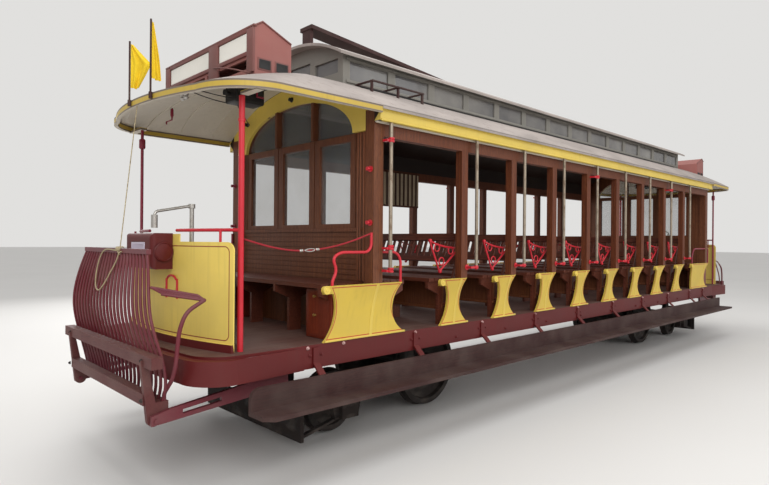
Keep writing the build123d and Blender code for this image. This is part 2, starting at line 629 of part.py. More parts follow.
# Reversible seat backs: a slatted back between two arms that swing from below the seat
BACK_ARM_THICK = 12
BACK_LEAN = 20
BACK_BOTTOM = 400
BACK_TOP = 680
BACK_RAIL_THICK = 26
BACK_SLATS = 21
BACK_SLAT_PITCH = 88
lean_plane = Plane(origin=(0, 0, BACK_PIVOT_Z), x_dir=(0, 1, 0),
                   z_dir=(cos(radians(BACK_LEAN)), 0, -sin(radians(BACK_LEAN))))
with BuildPart() as first_back:
    with BuildSketch(lean_plane) as arms:
        for side in SIDES.values():
            with Locations((side * BACK_ARM_Y, BACK_TOP / 2)):
                Rectangle(BACK_ARM_THICK, BACK_TOP)
    extrude(amount=BACK_RAIL_THICK / 2, both=True)
    with BuildSketch(lean_plane) as rails:
        with Locations((0, BACK_BOTTOM + 25)):
            Rectangle(2 * BACK_ARM_Y, 50)
        with Locations((0, BACK_TOP - 35)):
            Rectangle(2 * BACK_ARM_Y, 70)
    extrude(amount=BACK_RAIL_THICK / 2, both=True)
    with BuildSketch(lean_plane) as slats:
        with Locations((0, (BACK_BOTTOM + BACK_TOP) / 2)):
            with GridLocations(BACK_SLAT_PITCH, 0, BACK_SLATS, 1):
                Rectangle(28, BACK_TOP - BACK_BOTTOM - 20)
    extrude(amount=6, both=True)
    for side in SIDES.values():
        rod((0, side * (BACK_ARM_Y - BACK_ARM_THICK / 2), BACK_PIVOT_Z),
            (0, side * (BACK_ARM_Y + BACK_ARM_THICK / 2), BACK_PIVOT_Z), 24)
        rod((0, side * (BACK_ARM_Y - 20), BACK_PIVOT_Z), (0, side * (BACK_ARM_Y + 20), BACK_PIVOT_Z),
            PIVOT_RADIUS + PIVOT_CLEARANCE, mode=Mode.SUBTRACT)
for number, x in enumerate(SEAT_CENTRE, start=1):
    with BuildPart() as back:
        with Locations((x, 0, 0)):
            add(first_back.part)
    back.part.label = f"seat_back_{number}"
    export_step(back.part, f"parts/seat_back_{number}.step")

# Grab poles outside the posts, from brackets at seat level up to the letterboards
POLE_RADIUS = 15
POLE_Y = 1135
POLE_BOTTOM = 1380
POLE_X = [-BULKHEAD_X + 55] + [x + REAR_FACE + 60 for x in POST_X]
BRACKET_THICK = 18
BRACKET_LEVELS = [(POLE_BOTTOM + 5, POLE_X), (1560, POLE_X[:1]), (2400, [POLE_X[0], POLE_X[4], POLE_X[7]])]
for name, side in SIDES.items():
    with BuildPart() as poles:
        with BuildSketch(Plane.XY.offset(POLE_BOTTOM)) as feet:
            with Locations(*[(x, side * POLE_Y) for x in POLE_X]):
                Circle(POLE_RADIUS)
        extrude(amount=LETTERBOARD_BOTTOM - POLE_BOTTOM)
        for level, places in BRACKET_LEVELS:
            with BuildSketch(Plane.XY.offset(level)) as brackets:
                for x in places:
                    if x == POLE_X[0]:
                        with Locations((x - 20, side * (BODY_HALF + POLE_Y) / 2)):
                            Rectangle(40, POLE_Y - BODY_HALF)
                    else:
                        with Locations((x - 30, side * POLE_Y)):
                            Rectangle(60, 16)
                        with Locations((x - 70, side * (BODY_HALF + POLE_Y + 8) / 2)):
                            Rectangle(30, POLE_Y - BODY_HALF + 8)
            extrude(brackets.sketch, amount=BRACKET_THICK)
    poles.part.label = f"{name}_grab_poles"
    export_step(poles.part, f"parts/{name}_grab_poles.step")

# Platform stanchions with the handrail over each dash
STANCHION_X = PLATFORM_REACH - 400
STANCHION_Y = 868
RAIL_Z = 1692
HOOD_BASE = LETTERBOARD_TOP
# Handles between the wide seat ends and the corner posts: points as (x, z)
HANDLE_RADIUS = 11
HANDLE_Y = BODY_HALF - PANEL_THICK / 2
HANDLE_RISER_X = CORNER_FACE + HANDLE_RADIUS + 0.3
HANDLES = {
    "front": [[(-4265, SEAT_LEVEL), (-4265, 1330), (-4225, 1405), (-4262, 1500), (-4190, 1540),
               (-HANDLE_RISER_X, 1540), (-HANDLE_RISER_X, 1690)],
              [(-CORNER_BACK, 1540), (-3565, 1540), (-3565, SEAT_LEVEL)]],
    "rear": [[(3935, SEAT_LEVEL), (3935, 1540), (CORNER_FACE, 1540)],
             [(CORNER_BACK, 1540), (3250, 1540), (3175, 1440), (3170, 1350), (3170, SEAT_LEVEL)]],
}
KNOB_Y = BODY_HALF - 37
KNOB_Z = (1767, 2182)
# Plate, neck and ball of a knob: from, to, radius
KNOB_TURNS = [(0, 7, 24), (7, 26, 8), (26, 40, 15)]
with BuildPart() as stanchions:
    for end in ENDS.values():
        for side, radius in ((-end, 13), (end, 20)):
            rod((end * STANCHION_X, side * STANCHION_Y, FLOOR_TOP),
                (end * STANCHION_X, side * STANCHION_Y, HOOD_BASE - 60), radius)
        for side in SIDES.values():
            with BuildLine() as route:
                ThreePointArc((end * (dash_x(LAMP_HALF) - 30), side * LAMP_HALF, RAIL_Z),
                              (end * (dash_x(600) - 45), side * 600, RAIL_Z),
                              (end * STANCHION_X, side * STANCHION_Y, RAIL_Z))
            with BuildSketch(Plane(origin=route.line @ 0, z_dir=route.line % 0)) as section:
                Circle(12)
            sweep(section.sketch, path=route.line)
            post_x = dash_x(760) - DASH_THICK - 9.9
            rod((end * post_x, side * 760, DASH_TOP - 60), (end * post_x, side * 760, RAIL_Z), 9)
        for side in SIDES.values():
            for z in KNOB_Z:
                for x_from, x_to, radius in KNOB_TURNS:
                    rod((end * (CORNER_FACE + x_from), side * KNOB_Y, z),
                        (end * (CORNER_FACE + x_to), side * KNOB_Y, z), radius)
    for end, routes in HANDLES.items():
        for side in SIDES.values():
            for points in routes:
                with BuildLine() as route:
                    places = [(x, side * HANDLE_Y, z) for x, z in points]
                    FilletPolyline(*places, radius=arc_radii(places))
                pipe(route.line, HANDLE_RADIUS)
stanchions.part.label = "platform_stanchions"
export_step(stanchions.part, "parts/platform_stanchions.step")

# Lower roof deck with the long opening under the clerestory
with BuildPart() as deck:
    arch_body(DECK_HALF, LETTERBOARD_TOP, DECK_RISE, LETTERBOARD_TOP - DECK_THICK,
              -HOOD_START_X, HOOD_START_X)
    arch_body(DECK_HALF, LETTERBOARD_TOP - DECK_THICK, DECK_RISE, LETTERBOARD_TOP - 2 * DECK_THICK,
              -HOOD_START_X, HOOD_START_X, mode=Mode.SUBTRACT)
    block(-BULKHEAD_X + 30, BULKHEAD_X - 30, -CLERESTORY_HALF + 35, CLERESTORY_HALF - 35, 2600, 3200,
          mode=Mode.SUBTRACT)
deck.part.label = "lower_roof"
export_step(deck.part, "parts/lower_roof.step")

# Hoods over the platforms, lofted through contours of the dome
# Contours: share of the rise, scale along x, scale across y
HOOD_CONTOURS = [(0.0, 1.0, 1.0), (0.3, 0.76, 0.85), (0.6, 0.48, 0.655), (0.85, 0.2, 0.41),
                 (0.97, 0.05, 0.19)]


def hood_dome(end, drop, shrink, mode=Mode.ADD):
    """Add the dome of a hood, lowered by drop and shrunk by shrink for its underside."""
    faces = []
    for rise, scale_x, scale_y in HOOD_CONTOURS:
        with BuildSketch(Plane.XY.offset(HOOD_BASE - drop + rise * DECK_RISE)) as contour:
            plan_face(end, HOOD_START_X, DECK_HALF - shrink,
                      [(distance - shrink, y - shrink) for distance, y in HOOD_CORNER], HOOD_FRONT - shrink,
                      scale_x, scale_y)
        faces.append(contour.sketch)
    loft(faces, mode=mode)


for name, end in ENDS.items():
    with BuildPart() as hood:
        hood_dome(end, 0, 0)
        hood_dome(end, HOOD_THICK, HOOD_THICK, mode=Mode.SUBTRACT)
        with BuildSketch(Plane.XY.offset(HOOD_BASE - LIP_HEIGHT)) as lip:
            plan_face(end, HOOD_START_X, DECK_HALF - 4, HOOD_CORNER, HOOD_FRONT)
        extrude(lip.sketch, amount=LIP_HEIGHT)
        with BuildSketch(Plane.XY.offset(HOOD_BASE - LIP_HEIGHT)) as lip_inner:
            plan_face(end, HOOD_START_X, DECK_HALF - HOOD_THICK,
                      [(distance - HOOD_THICK, y - HOOD_THICK) for distance, y in HOOD_CORNER],
                      HOOD_FRONT - HOOD_THICK)
        extrude(lip_inner.sketch, amount=LIP_HEIGHT, mode=Mode.SUBTRACT)
        for side in SIDES.values():
            y = side * STANCHION_Y
            block(end * (STANCHION_X - 30), end * (STANCHION_X + 30), y - 30, side * (1115 - HOOD_THICK + 5),
                  HOOD_BASE - 60, HOOD_BASE - 40)
    hood.part.label = f"{name}_hood"
    export_step(hood.part, f"parts/{name}_hood.step")

# Clerestory frames and glass
CLERESTORY_BASE = arch_z(CLERESTORY_HALF, DECK_HALF, LETTERBOARD_TOP, DECK_RISE)
PANE_PITCH = (2 * BULKHEAD_X - 40) / CLERESTORY_WINDOWS
PANE_X = [-BULKHEAD_X + 20 + PANE_PITCH * (i + 0.5) for i in range(CLERESTORY_WINDOWS)]
PANE_WIDTH = 450
PANE_Z0 = 2985
PANE_Z1 = 3140
END_PANES_Y = (-390, 0, 390)
with BuildPart() as clerestory:
    arch_body(UPPER_ROOF_HALF, UPPER_ROOF_EDGE_Z - UPPER_ROOF_THICK, UPPER_ROOF_RISE, 2900,
              -BULKHEAD_X - 10, BULKHEAD_X + 10)
    arch_body(DECK_HALF, LETTERBOARD_TOP, DECK_RISE, 2600, -4200, 4200, mode=Mode.SUBTRACT)
    for side in SIDES.values():
        block(-4000, 4000, side * CLERESTORY_HALF, side * 900, 2600, 3400, mode=Mode.SUBTRACT)
    block(-BULKHEAD_X + 30, BULKHEAD_X - 30, -CLERESTORY_HALF + CLERESTORY_WALL,
          CLERESTORY_HALF - CLERESTORY_WALL, 2600, 3400, mode=Mode.SUBTRACT)
    with BuildSketch(Plane.XZ.offset(1000)) as panes:
        with Locations(*[(x, (PANE_Z0 + PANE_Z1) / 2) for x in PANE_X]):
            Rectangle(PANE_WIDTH, PANE_Z1 - PANE_Z0)
    extrude(amount=-2000, mode=Mode.SUBTRACT)
    with BuildSketch(Plane.YZ.offset(-4000)) as end_panes:
        for y in END_PANES_Y:
            with Locations((y, 3105 + 40 * (1 - abs(y) / 390))):
                Rectangle(320, 120)
    extrude(amount=8000, mode=Mode.SUBTRACT)
clerestory.part.label = "clerestory"
export_step(clerestory.part, "parts/clerestory.step")

with BuildPart() as clerestory_glass:
    for side in SIDES.values():
        middle = side * (CLERESTORY_HALF - CLERESTORY_WALL / 2)
        with BuildSketch(Plane.XZ.offset(-middle - GLASS_THICK / 2)) as panes:
            with Locations(*[(x, (PANE_Z0 + PANE_Z1) / 2) for x in PANE_X]):
                Rectangle(PANE_WIDTH, PANE_Z1 - PANE_Z0)
        extrude(amount=GLASS_THICK)
    for end in ENDS.values():
        middle = end * (BULKHEAD_X - 10)
        with BuildSketch(Plane.YZ.offset(middle - GLASS_THICK / 2)) as end_panes:
            for y in END_PANES_Y:
                with Locations((y, 3105 + 40 * (1 - abs(y) / 390))):
                    Rectangle(320, 120)
        extrude(amount=GLASS_THICK)
clerestory_glass.part.label = "clerestory_glass"
export_step(clerestory_glass.part, "parts/clerestory_glass.step")

# Upper roof over the clerestory
with BuildPart() as upper_roof:
    arch_body(UPPER_ROOF_HALF, UPPER_ROOF_EDGE_Z, UPPER_ROOF_RISE, UPPER_ROOF_EDGE_Z - UPPER_ROOF_THICK,
              -UPPER_ROOF_END_X, UPPER_ROOF_END_X)
    arch_body(UPPER_ROOF_HALF, UPPER_ROOF_EDGE_Z - UPPER_ROOF_THICK, UPPER_ROOF_RISE,
              UPPER_ROOF_EDGE_Z - 2 * UPPER_ROOF_THICK, -UPPER_ROOF_END_X, UPPER_ROOF_END_X,
              mode=Mode.SUBTRACT)
upper_roof.part.label = "upper_roof"
export_step(upper_roof.part, "parts/upper_roof.step")

# Sign boxes on the hoods, blank, open below the plates and seated on the dome
SIGN_FRONT_X = 4720
SIGN_BACK_X = 4410
SIGN_HALF = 740
SIGN_BOTTOM = 2770
SIGN_WALL = 20
SIGN_PROFILE = [(SIGN_FRONT_X, 3150), (4660, 3190), (SIGN_BACK_X, 3080)]
with BuildPart() as sign_boxes:
    for end in ENDS.values():
        outer = [(end * SIGN_BACK_X, 2700), (end * SIGN_FRONT_X, 2700)]
        side_profile(outer + [(end * x, z) for x, z in SIGN_PROFILE], -SIGN_HALF, SIGN_HALF)
        inner = [(end * (SIGN_BACK_X + SIGN_WALL), 2600), (end * (SIGN_FRONT_X - SIGN_WALL), 2600),
                 (end * (SIGN_FRONT_X - SIGN_WALL), 3135), (end * 4660, 3165),
                 (end * (SIGN_BACK_X + SIGN_WALL), 3066)]
        side_profile(inner, -SIGN_HALF + SIGN_WALL, SIGN_HALF - SIGN_WALL, mode=Mode.SUBTRACT)
        block(end * 4690, end * 4740, -SIGN_HALF + 60, -20, 2860, 2930, mode=Mode.SUBTRACT)
        block(end * 4690, end * 4740, 20, SIGN_HALF - 60, 2860, 2930, mode=Mode.SUBTRACT)
        hood_dome(end, 0, 0, mode=Mode.SUBTRACT)
sign_boxes.part.label = "sign_boxes"
export_step(sign_boxes.part, "parts/sign_boxes.step")

# Sloping beam on the upper roof at the front, and the step on the lower roof beside it
BEAM_FRONT_X = -3745
BEAM_REAR_X = -1200
BEAM_THICK = 36
ridge = UPPER_ROOF_EDGE_Z + UPPER_ROOF_RISE
with BuildPart() as roof_beam:
    side_profile([(BEAM_FRONT_X, ridge + 195), (BEAM_FRONT_X, ridge + 230), (BEAM_REAR_X, ridge + 38),
                  (BEAM_REAR_X, ridge + 2)], -90, 90)
    for x, height in ((BEAM_FRONT_X + 5, 198), (-2500, 102), (BEAM_REAR_X - 40, 12)):
        block(x, x + 35, -60, 60, ridge, ridge + height)
    arch_body(UPPER_ROOF_HALF, UPPER_ROOF_EDGE_Z, UPPER_ROOF_RISE, 3000, -3900, 0, mode=Mode.SUBTRACT)
roof_beam.part.label = "roof_beam"
export_step(roof_beam.part, "parts/roof_beam.step")

STEP_RACK_X = (-3695, -3085)
STEP_RACK_Y = (-DECK_HALF + 320, -DECK_HALF + 520)
STEP_RACK_Z = LETTERBOARD_TOP + 290
with BuildPart() as roof_step:
    for x in (STEP_RACK_X[0], sum(STEP_RACK_X) / 2, STEP_RACK_X[1]):
        block(x - 9, x + 9, STEP_RACK_Y[0], STEP_RACK_Y[1], STEP_RACK_Z - 12, STEP_RACK_Z)
        block(x - 9, x + 9, STEP_RACK_Y[0], STEP_RACK_Y[0] + 18, LETTERBOARD_TOP + 45, STEP_RACK_Z - 12)
    for y in STEP_RACK_Y:
        block(STEP_RACK_X[0] - 9, STEP_RACK_X[1] + 9, y - 9, y + 9, STEP_RACK_Z - 12, STEP_RACK_Z)
    arch_body(DECK_HALF, LETTERBOARD_TOP, DECK_RISE, 2500, -3900, -2900, mode=Mode.SUBTRACT)
roof_step.part.label = "roof_step"
export_step(roof_step.part, "parts/roof_step.step")

# Running boards: a riser and a step on bent hangers from the sills
HANGER_X = (-4350, -3300, -2360, -1410, -470, 470, 1410, 2360, 3300, 3950)
HANGER_WIDTH = 55
HANGER_THICK = 12
RISER_TOP = 675
for name, side in SIDES.items():
    with BuildPart() as board:
        with BuildSketch(Plane.XZ.offset(-side * RISER_Y)) as riser:
            with BuildLine():
                Polyline((BOARD_FRONT_X, STEP_TOP), (BOARD_REAR_X, STEP_TOP), (BOARD_REAR_X, RISER_TOP),
                         (BOARD_FRONT_X + 70, RISER_TOP))
                RadiusArc((BOARD_FRONT_X + 70, RISER_TOP), (BOARD_FRONT_X, RISER_TOP - 70), -70)
                Line((BOARD_FRONT_X, RISER_TOP - 70), (BOARD_FRONT_X, STEP_TOP))
            make_face()
        extrude(amount=-side * RISER_THICK)
        with BuildSketch(Plane.XY.offset(STEP_TOP - STEP_THICK)) as tread:
            with BuildLine():
                Polyline((BOARD_FRONT_X, side * RISER_Y), (BOARD_REAR_X, side * RISER_Y),
                         (BOARD_REAR_X, side * STEP_OUT_Y), (BOARD_FRONT_X + 60, side * STEP_OUT_Y),
                         (BOARD_FRONT_X, side * (STEP_OUT_Y - 60)), close=True)
            make_face()
        extrude(amount=STEP_THICK)
    board.part.label = f"{name}_running_board"
    export_step(board.part, f"parts/{name}_running_board.step")

with BuildPart() as hangers:
    for side in SIDES.values():
        sections = [(SILL_HALF, FLOOR_TOP - 20), (SILL_HALF, 740), (RISER_Y - HANGER_THICK, 660),
                    (RISER_Y - HANGER_THICK, STEP_TOP - STEP_THICK - HANGER_THICK),
                    (STEP_OUT_Y - 40, STEP_TOP - STEP_THICK - HANGER_THICK)]
        outer = [(SILL_HALF + HANGER_THICK, FLOOR_TOP - 20), (SILL_HALF + HANGER_THICK, 746), (RISER_Y, 666),
                 (RISER_Y, STEP_TOP - STEP_THICK), (STEP_OUT_Y - 40, STEP_TOP - STEP_THICK)]
        ring = [(side * y, z) for y, z in sections + outer[::-1]]
        for x in HANGER_X:
            cross_profile(ring, x - HANGER_WIDTH / 2, x + HANGER_WIDTH / 2)
hangers.part.label = "step_hangers"
export_step(hangers.part, "parts/step_hangers.step")

# Wheelsets: an axle with two flanged wheels; the flange tips stand on the floor plane
def wheelset_outline(tread, hub, rim):
    """Half outline of one wheel as (y, radius) points, inner face first."""
    back = GAUGE / 2 - 32
    front = back + WHEEL_WIDTH
    flange = tread + FLANGE_HEIGHT
    return [(back - 15, AXLE_RADIUS - 5), (back - 15, hub), (back + 28, hub + 12), (back + 34, rim - 12),
            (back, rim), (back, flange - 5), (back + 6, flange), (back + 16, flange - 4), (back + 28, tread),
            (front, tread - 2), (front, rim), (back + 52, rim - 10), (back + 50, hub + 10),
            (front + 5, hub - 4),
            (front + 5, AXLE_RADIUS - 5)]


# Wheel sizes: tread radius, hub radius, inner radius of the rim
WHEELS = {"driver": (DRIVER_TREAD_RADIUS, 95, 330), "pony": (PONY_TREAD_RADIUS, 80, 208)}
AXLE_X = {"driver": DRIVER_X, "pony": PONY_X}
AXLE_Z = {kind: tread + FLANGE_HEIGHT for kind, (tread, hub, rim) in WHEELS.items()}
for name, end in ENDS.items():
    for kind, (tread, hub, rim) in WHEELS.items():
        x, z = end * AXLE_X[kind], AXLE_Z[kind]
        axle_plane = Plane(origin=(x, 0, z), x_dir=(0, 1, 0), z_dir=(-1, 0, 0))
        with BuildPart() as wheelset:
            for side in SIDES.values():
                with BuildSketch(axle_plane) as section:
                    with BuildLine():
                        Polyline(*[(side * y, -r) for y, r in wheelset_outline(tread, hub, rim)], close=True)
                    make_face()
                revolve(section.sketch, axis=Axis((x, 0, z), (0, 1, 0)))
            rod((x, -FRAME_Y + 50, z), (x, FRAME_Y - 50, z), AXLE_RADIUS)
            rod((x, -JOURNAL_END_Y, z), (x, JOURNAL_END_Y, z), JOURNAL_RADIUS)
        wheelset.part.label = f"{name}_{kind}_wheelset"
        export_step(wheelset.part, f"parts/{name}_{kind}_wheelset.step")

# Truck frames: side frames with axle boxes, bolster, end ties and the guard board
FRAME_TOP = 500
BOX_HALF = 85
BOLSTER_TOP = CENTRE_PLATE_Z - 8
for name, end in ENDS.items():
    with BuildPart() as truck:
        for side in SIDES.values():
            y0, y1 = side * (FRAME_Y - FRAME_THICK / 2), side * (FRAME_Y + FRAME_THICK / 2)
            side_profile([(end * (PONY_X + 330), 330), (end * (PONY_X + 330), 395),
                          (end * (PONY_X + 120), 440), (end * (DRIVER_X + 150), FRAME_TOP),
                          (end * (DRIVER_X - 150), FRAME_TOP), (end * (DRIVER_X - 560), 430),
                          (end * (DRIVER_X - 560), 370),
                          (end * (DRIVER_X - 170), 400), (end * (DRIVER_X - 120), 280),
                          (end * (DRIVER_X + 120), 280), (end * (DRIVER_X + 170), 420),
                          (end * (PONY_X - 170), 375), (end * (PONY_X - 120), 180),
                          (end * (PONY_X + 120), 180), (end * (PONY_X + 170), 350)], y0, y1)
            for kind in WHEELS:
                x, z = end * AXLE_X[kind], AXLE_Z[kind]
                block(x - BOX_HALF, x + BOX_HALF, side * (FRAME_Y - 45), side * (FRAME_Y + 75), z - BOX_HALF,
                      z + BOX_HALF)
                rod((x, side * (FRAME_Y - 46), z), (x, side * (JOURNAL_END_Y + 2), z),
                    JOURNAL_RADIUS + JOURNAL_CLEARANCE, mode=Mode.SUBTRACT)
            block(end * (PONY_X + 440), end * (PONY_X + 325), side * (FRAME_Y - 20), side * (FRAME_Y + 20),
                  335, 350)
            side_profile([(end * (PONY_X + 440), 350), (end * (PONY_X + 455), 350),
                          (end * (PONY_X + 455), 110), (end * (PONY_X + 445), 95),
                          (end * (PONY_X + 60), 185), (end * (PONY_X + 60), 205),
                          (end * (PONY_X + 440), 118)], side * (FRAME_Y - 20), side * (FRAME_Y + 20))
            block(end * (KINGPIN_X - 60), end * (KINGPIN_X + 60), y0, y1, FRAME_TOP - 75, 600)
        block(end * (KINGPIN_X - 60), end * (KINGPIN_X + 60), -FRAME_Y - 30, FRAME_Y + 30,
              600, BOLSTER_TOP - 8)
        with Locations((end * KINGPIN_X, 0, BOLSTER_TOP - 8)):
            Cylinder(CENTRE_PLATE_RADIUS, CENTRE_PLATE_Z - FIT - BOLSTER_TOP + 8,
                     align=(Align.CENTER, Align.CENTER, Align.MIN))
        with Locations((end * KINGPIN_X, 0, 640)):
            Cylinder(KINGPIN_RADIUS + KINGPIN_CLEARANCE, 200, mode=Mode.SUBTRACT)
        block(end * (DRIVER_X - 560), end * (DRIVER_X - 510), -FRAME_Y, FRAME_Y, 370, 430)
        block(end * (PONY_X + 290), end * (PONY_X + 330), -FRAME_Y, FRAME_Y, 335, 395)
        block(end * (PONY_X + 455), end * (PONY_X + 485), -750, 750, 85, 300)
    truck.part.label = f"{name}_truck_frame"
    export_step(truck.part, f"parts/{name}_truck_frame.step")
    with BuildPart() as motor:
        block(end * (DRIVER_X - 70), end * (DRIVER_X - 510), -330, 330, 160, 560)
        fillet(motor.edges().filter_by(Axis.Y), 60)
    motor.part.label = f"{name}_motor"
    export_step(motor.part, f"parts/{name}_motor.step")

# Fender: a frame of two beams on legs that pivot on the side arms, and its basket of bent rods
FOOT_RADIUS = 42
PIN_RADIUS = 14
PIN_CLEARANCE = 0.3
LEG_THICK = 36
ARM_THICK = 28
ARM_Y = FENDER_LEG_Y + LEG_THICK / 2 + 6 + ARM_THICK / 2
ARM_TOP = 700
ARM_OUTLINE = [(PLATFORM_START, ARM_TOP), (PLATFORM_START, 560), (FENDER_PIVOT_X - 90, 480),
               (FENDER_PIVOT_X + 30, 470), (FENDER_PIVOT_X + 30, 530), (FENDER_PIVOT_X - 90, 560),
               (PLATFORM_START + 250, 640), (PLATFORM_START + 150, ARM_TOP)]
BEAM_FRONT = FENDER_PIVOT_X + 72
BEAM_BACK = FENDER_PIVOT_X + 4
BEAM_TOP = 912
ARM_SLOT = [(FENDER_PIVOT_X - 170, 514), (PLATFORM_START + 530, 544), (PLATFORM_START + 530, 572),
            (FENDER_PIVOT_X - 170, 542)]
# Board between the legs that carries the feet of the rods: back, front, bottom, top
FOOT_BOARD = (FENDER_PIVOT_X - 90, FENDER_PIVOT_X - 24, 555, 607)
# Rod stations: distance from the middle, height, half width of the row of rods
ROD_STATIONS = [(FENDER_PIVOT_X - 58, 600, 735), (BEAM_BACK - FENDER_ROD_RADIUS - 1, BEAM_TOP, 835),
                (FENDER_PIVOT_X + 36, 1120, 790), (FENDER_PIVOT_X + 25, 1340, 715),
                (FENDER_PIVOT_X - 10, 1545, 595)]
# Side wings: a thick edge rod from the lower bracket to the tip and back to the rods, and short bars over it
WING_TIP = (FENDER_PIVOT_X - 255, 900, 1240)
WING_EDGE = [(FENDER_PIVOT_X - 68, 742, 607), (FENDER_PIVOT_X - 68, 742, 650),
             (FENDER_PIVOT_X - 68, 896, 790),
             (FENDER_PIVOT_X - 93, 900, 1068), (FENDER_PIVOT_X - 137, 900, 1175), WING_TIP]
WING_EDGE_RADIUS = 13
TOP_BAR_HALF = 625
TOP_BAR_Z = (1528, 1560)
WING_LOW_END = (FENDER_PIVOT_X - 20, 800, 1285)
WING_HIGH = ((FENDER_PIVOT_X - 225, 872, 1270), (FENDER_PIVOT_X + 20, 735, 1325))
WING_RAIL_RADIUS = 9
WING_BARS = 10
WING_BAR_RADIUS = 6
for name, end in ENDS.items():
    pivot = (end * FENDER_PIVOT_X, FENDER_PIVOT_Z)
    with BuildPart() as arms:
        for side in SIDES.values():
            side_profile([(end * x, z) for x, z in ARM_OUTLINE], side * (ARM_Y - ARM_THICK / 2),
                         side * (ARM_Y + ARM_THICK / 2))
            side_profile([(end * x, z) for x, z in ARM_SLOT], side * (ARM_Y - ARM_THICK),
                         side * (ARM_Y + ARM_THICK), mode=Mode.SUBTRACT)
            block(end * (PLATFORM_START + 20), end * (PLATFORM_START + 140), side * (ARM_Y - ARM_THICK / 2),
                  side * (ARM_Y + ARM_THICK / 2), ARM_TOP - 10, FRAME_DECK)
            rod((pivot[0], side * (FENDER_LEG_Y - LEG_THICK / 2 - 10), pivot[1]),
                (pivot[0], side * (ARM_Y + 24), pivot[1]), PIN_RADIUS)
    arms.part.label = f"{name}_fender_arms"
    export_step(arms.part, f"parts/{name}_fender_arms.step")

    with BuildPart() as fender:
        for side in SIDES.values():
            y0, y1 = side * (FENDER_LEG_Y - LEG_THICK / 2), side * (FENDER_LEG_Y + LEG_THICK / 2)
            side_profile([(end * (FENDER_PIVOT_X - 30), FENDER_PIVOT_Z),
                          (end * (FENDER_PIVOT_X + 42), FENDER_PIVOT_Z),
                          (end * (BEAM_FRONT + 14), 880), (end * (BEAM_FRONT - 24), 880)], y0, y1)
            rod((pivot[0], y0, pivot[1]), (pivot[0], y1, pivot[1]), FOOT_RADIUS)
        block(end * BEAM_BACK, end * BEAM_FRONT, -FENDER_BEAM_HALF, FENDER_BEAM_HALF, BEAM_TOP - 72, BEAM_TOP)
        block(end * (BEAM_BACK - 2), end * (BEAM_FRONT - 8), -FENDER_LEG_Y, FENDER_LEG_Y, 595, 667)
        board_back, board_front, board_bottom, board_top = FOOT_BOARD
        board_half = FENDER_LEG_Y + LEG_THICK / 2
        block(end * board_back, end * board_front, -board_half, board_half, board_bottom, board_top)
        for side in SIDES.values():
            block(end * board_back, end * (FENDER_PIVOT_X + 20), side * (FENDER_LEG_Y - LEG_THICK / 2),
                  side * board_half, board_bottom - 15, board_top)
            rod((pivot[0], side * (FENDER_LEG_Y - 30), pivot[1]),
                (pivot[0], side * (FENDER_LEG_Y + 30), pivot[1]), PIN_RADIUS + PIN_CLEARANCE,
                mode=Mode.SUBTRACT)
    fender.part.label = f"{name}_fender_frame"
    export_step(fender.part, f"parts/{name}_fender_frame.step")

    with BuildPart() as basket:
        for i in range(FENDER_ROD_COUNT):
            share = -1 + 2 * i / (FENDER_ROD_COUNT - 1)
            with BuildLine() as route:
                Spline(*[(end * x, share * half, z) for x, z, half in ROD_STATIONS])
            pipe(route.line, FENDER_ROD_RADIUS)
        for side in SIDES.values():
            edge = [(end * x, side * y, z) for x, y, z in WING_EDGE]
            with BuildLine() as route:
                FilletPolyline(*edge, radius=arc_radii(edge))
            pipe(route.line, WING_EDGE_RADIUS)
            tip, low_end = [Vector(end * x, side * y, z) for x, y, z in (WING_TIP, WING_LOW_END)]
            high_start, high_end = [Vector(end * x, side * y, z) for x, y, z in WING_HIGH]
            with Locations(tip):
                Sphere(WING_EDGE_RADIUS)
            rod(tip, low_end, WING_RAIL_RADIUS)
            rod(high_start, high_end, WING_RAIL_RADIUS)
            rod(tip, high_start, WING_RAIL_RADIUS)
            for bar in range(WING_BARS):
                low_share = (bar + 0.4) / WING_BARS
                high_share = min(1, low_share + 0.12)
                rod(tip + (low_end - tip) * low_share, high_start + (high_end - high_start) * high_share,
                    WING_BAR_RADIUS)
        block(end * FOOT_BOARD[0], end * FOOT_BOARD[1], -FENDER_BEAM_HALF, FENDER_BEAM_HALF, FOOT_BOARD[2],
              FOOT_BOARD[3], mode=Mode.SUBTRACT)
        block(end * (FENDER_PIVOT_X - 25), end * (FENDER_PIVOT_X + 5), -TOP_BAR_HALF, TOP_BAR_HALF,
              *TOP_BAR_Z)
    basket.part.label = f"{name}_fender_basket"
    export_step(basket.part, f"parts/{name}_fender_basket.step")

# Flags at the front hood's lip: a staff in a socket each, and its hanging cloth
# Flags: y of the staff, height of the staff's top, direction of the cloth in plan, cloth outline (along, z)
HOOD_TIP_RADIUS = 2342
STAFF_RADIUS = 7
SOCKET_RADIUS = 13
CLOTH_THICK = 16
CLOTH_START = STAFF_RADIUS + 0.3
FLAGS = [
    (60, 3090, (0.72, -0.69), [(CLOTH_START, 3070), (155, 2925), (60, 2745), (CLOTH_START, 2745)]),
    (-290, 3165, (0.95, 0.31), [(CLOTH_START, 3150), (62, 2900), (85, 2755), (CLOTH_START, 2755)]),
]


def staff_x(y):
    """Place of a flag staff in front of the hood's lip."""
    return -(HOOD_FRONT - HOOD_TIP_RADIUS + sqrt(HOOD_TIP_RADIUS**2 - y**2) + SOCKET_RADIUS + 0.3)


with BuildPart() as staffs:
    for y, top, direction, outline in FLAGS:
        rod((staff_x(y), y, HOOD_BASE - 45), (staff_x(y), y, HOOD_BASE), SOCKET_RADIUS)
        rod((staff_x(y), y, HOOD_BASE), (staff_x(y), y, top), STAFF_RADIUS)
staffs.part.label = "flag_staffs"
export_step(staffs.part, "parts/flag_staffs.step")

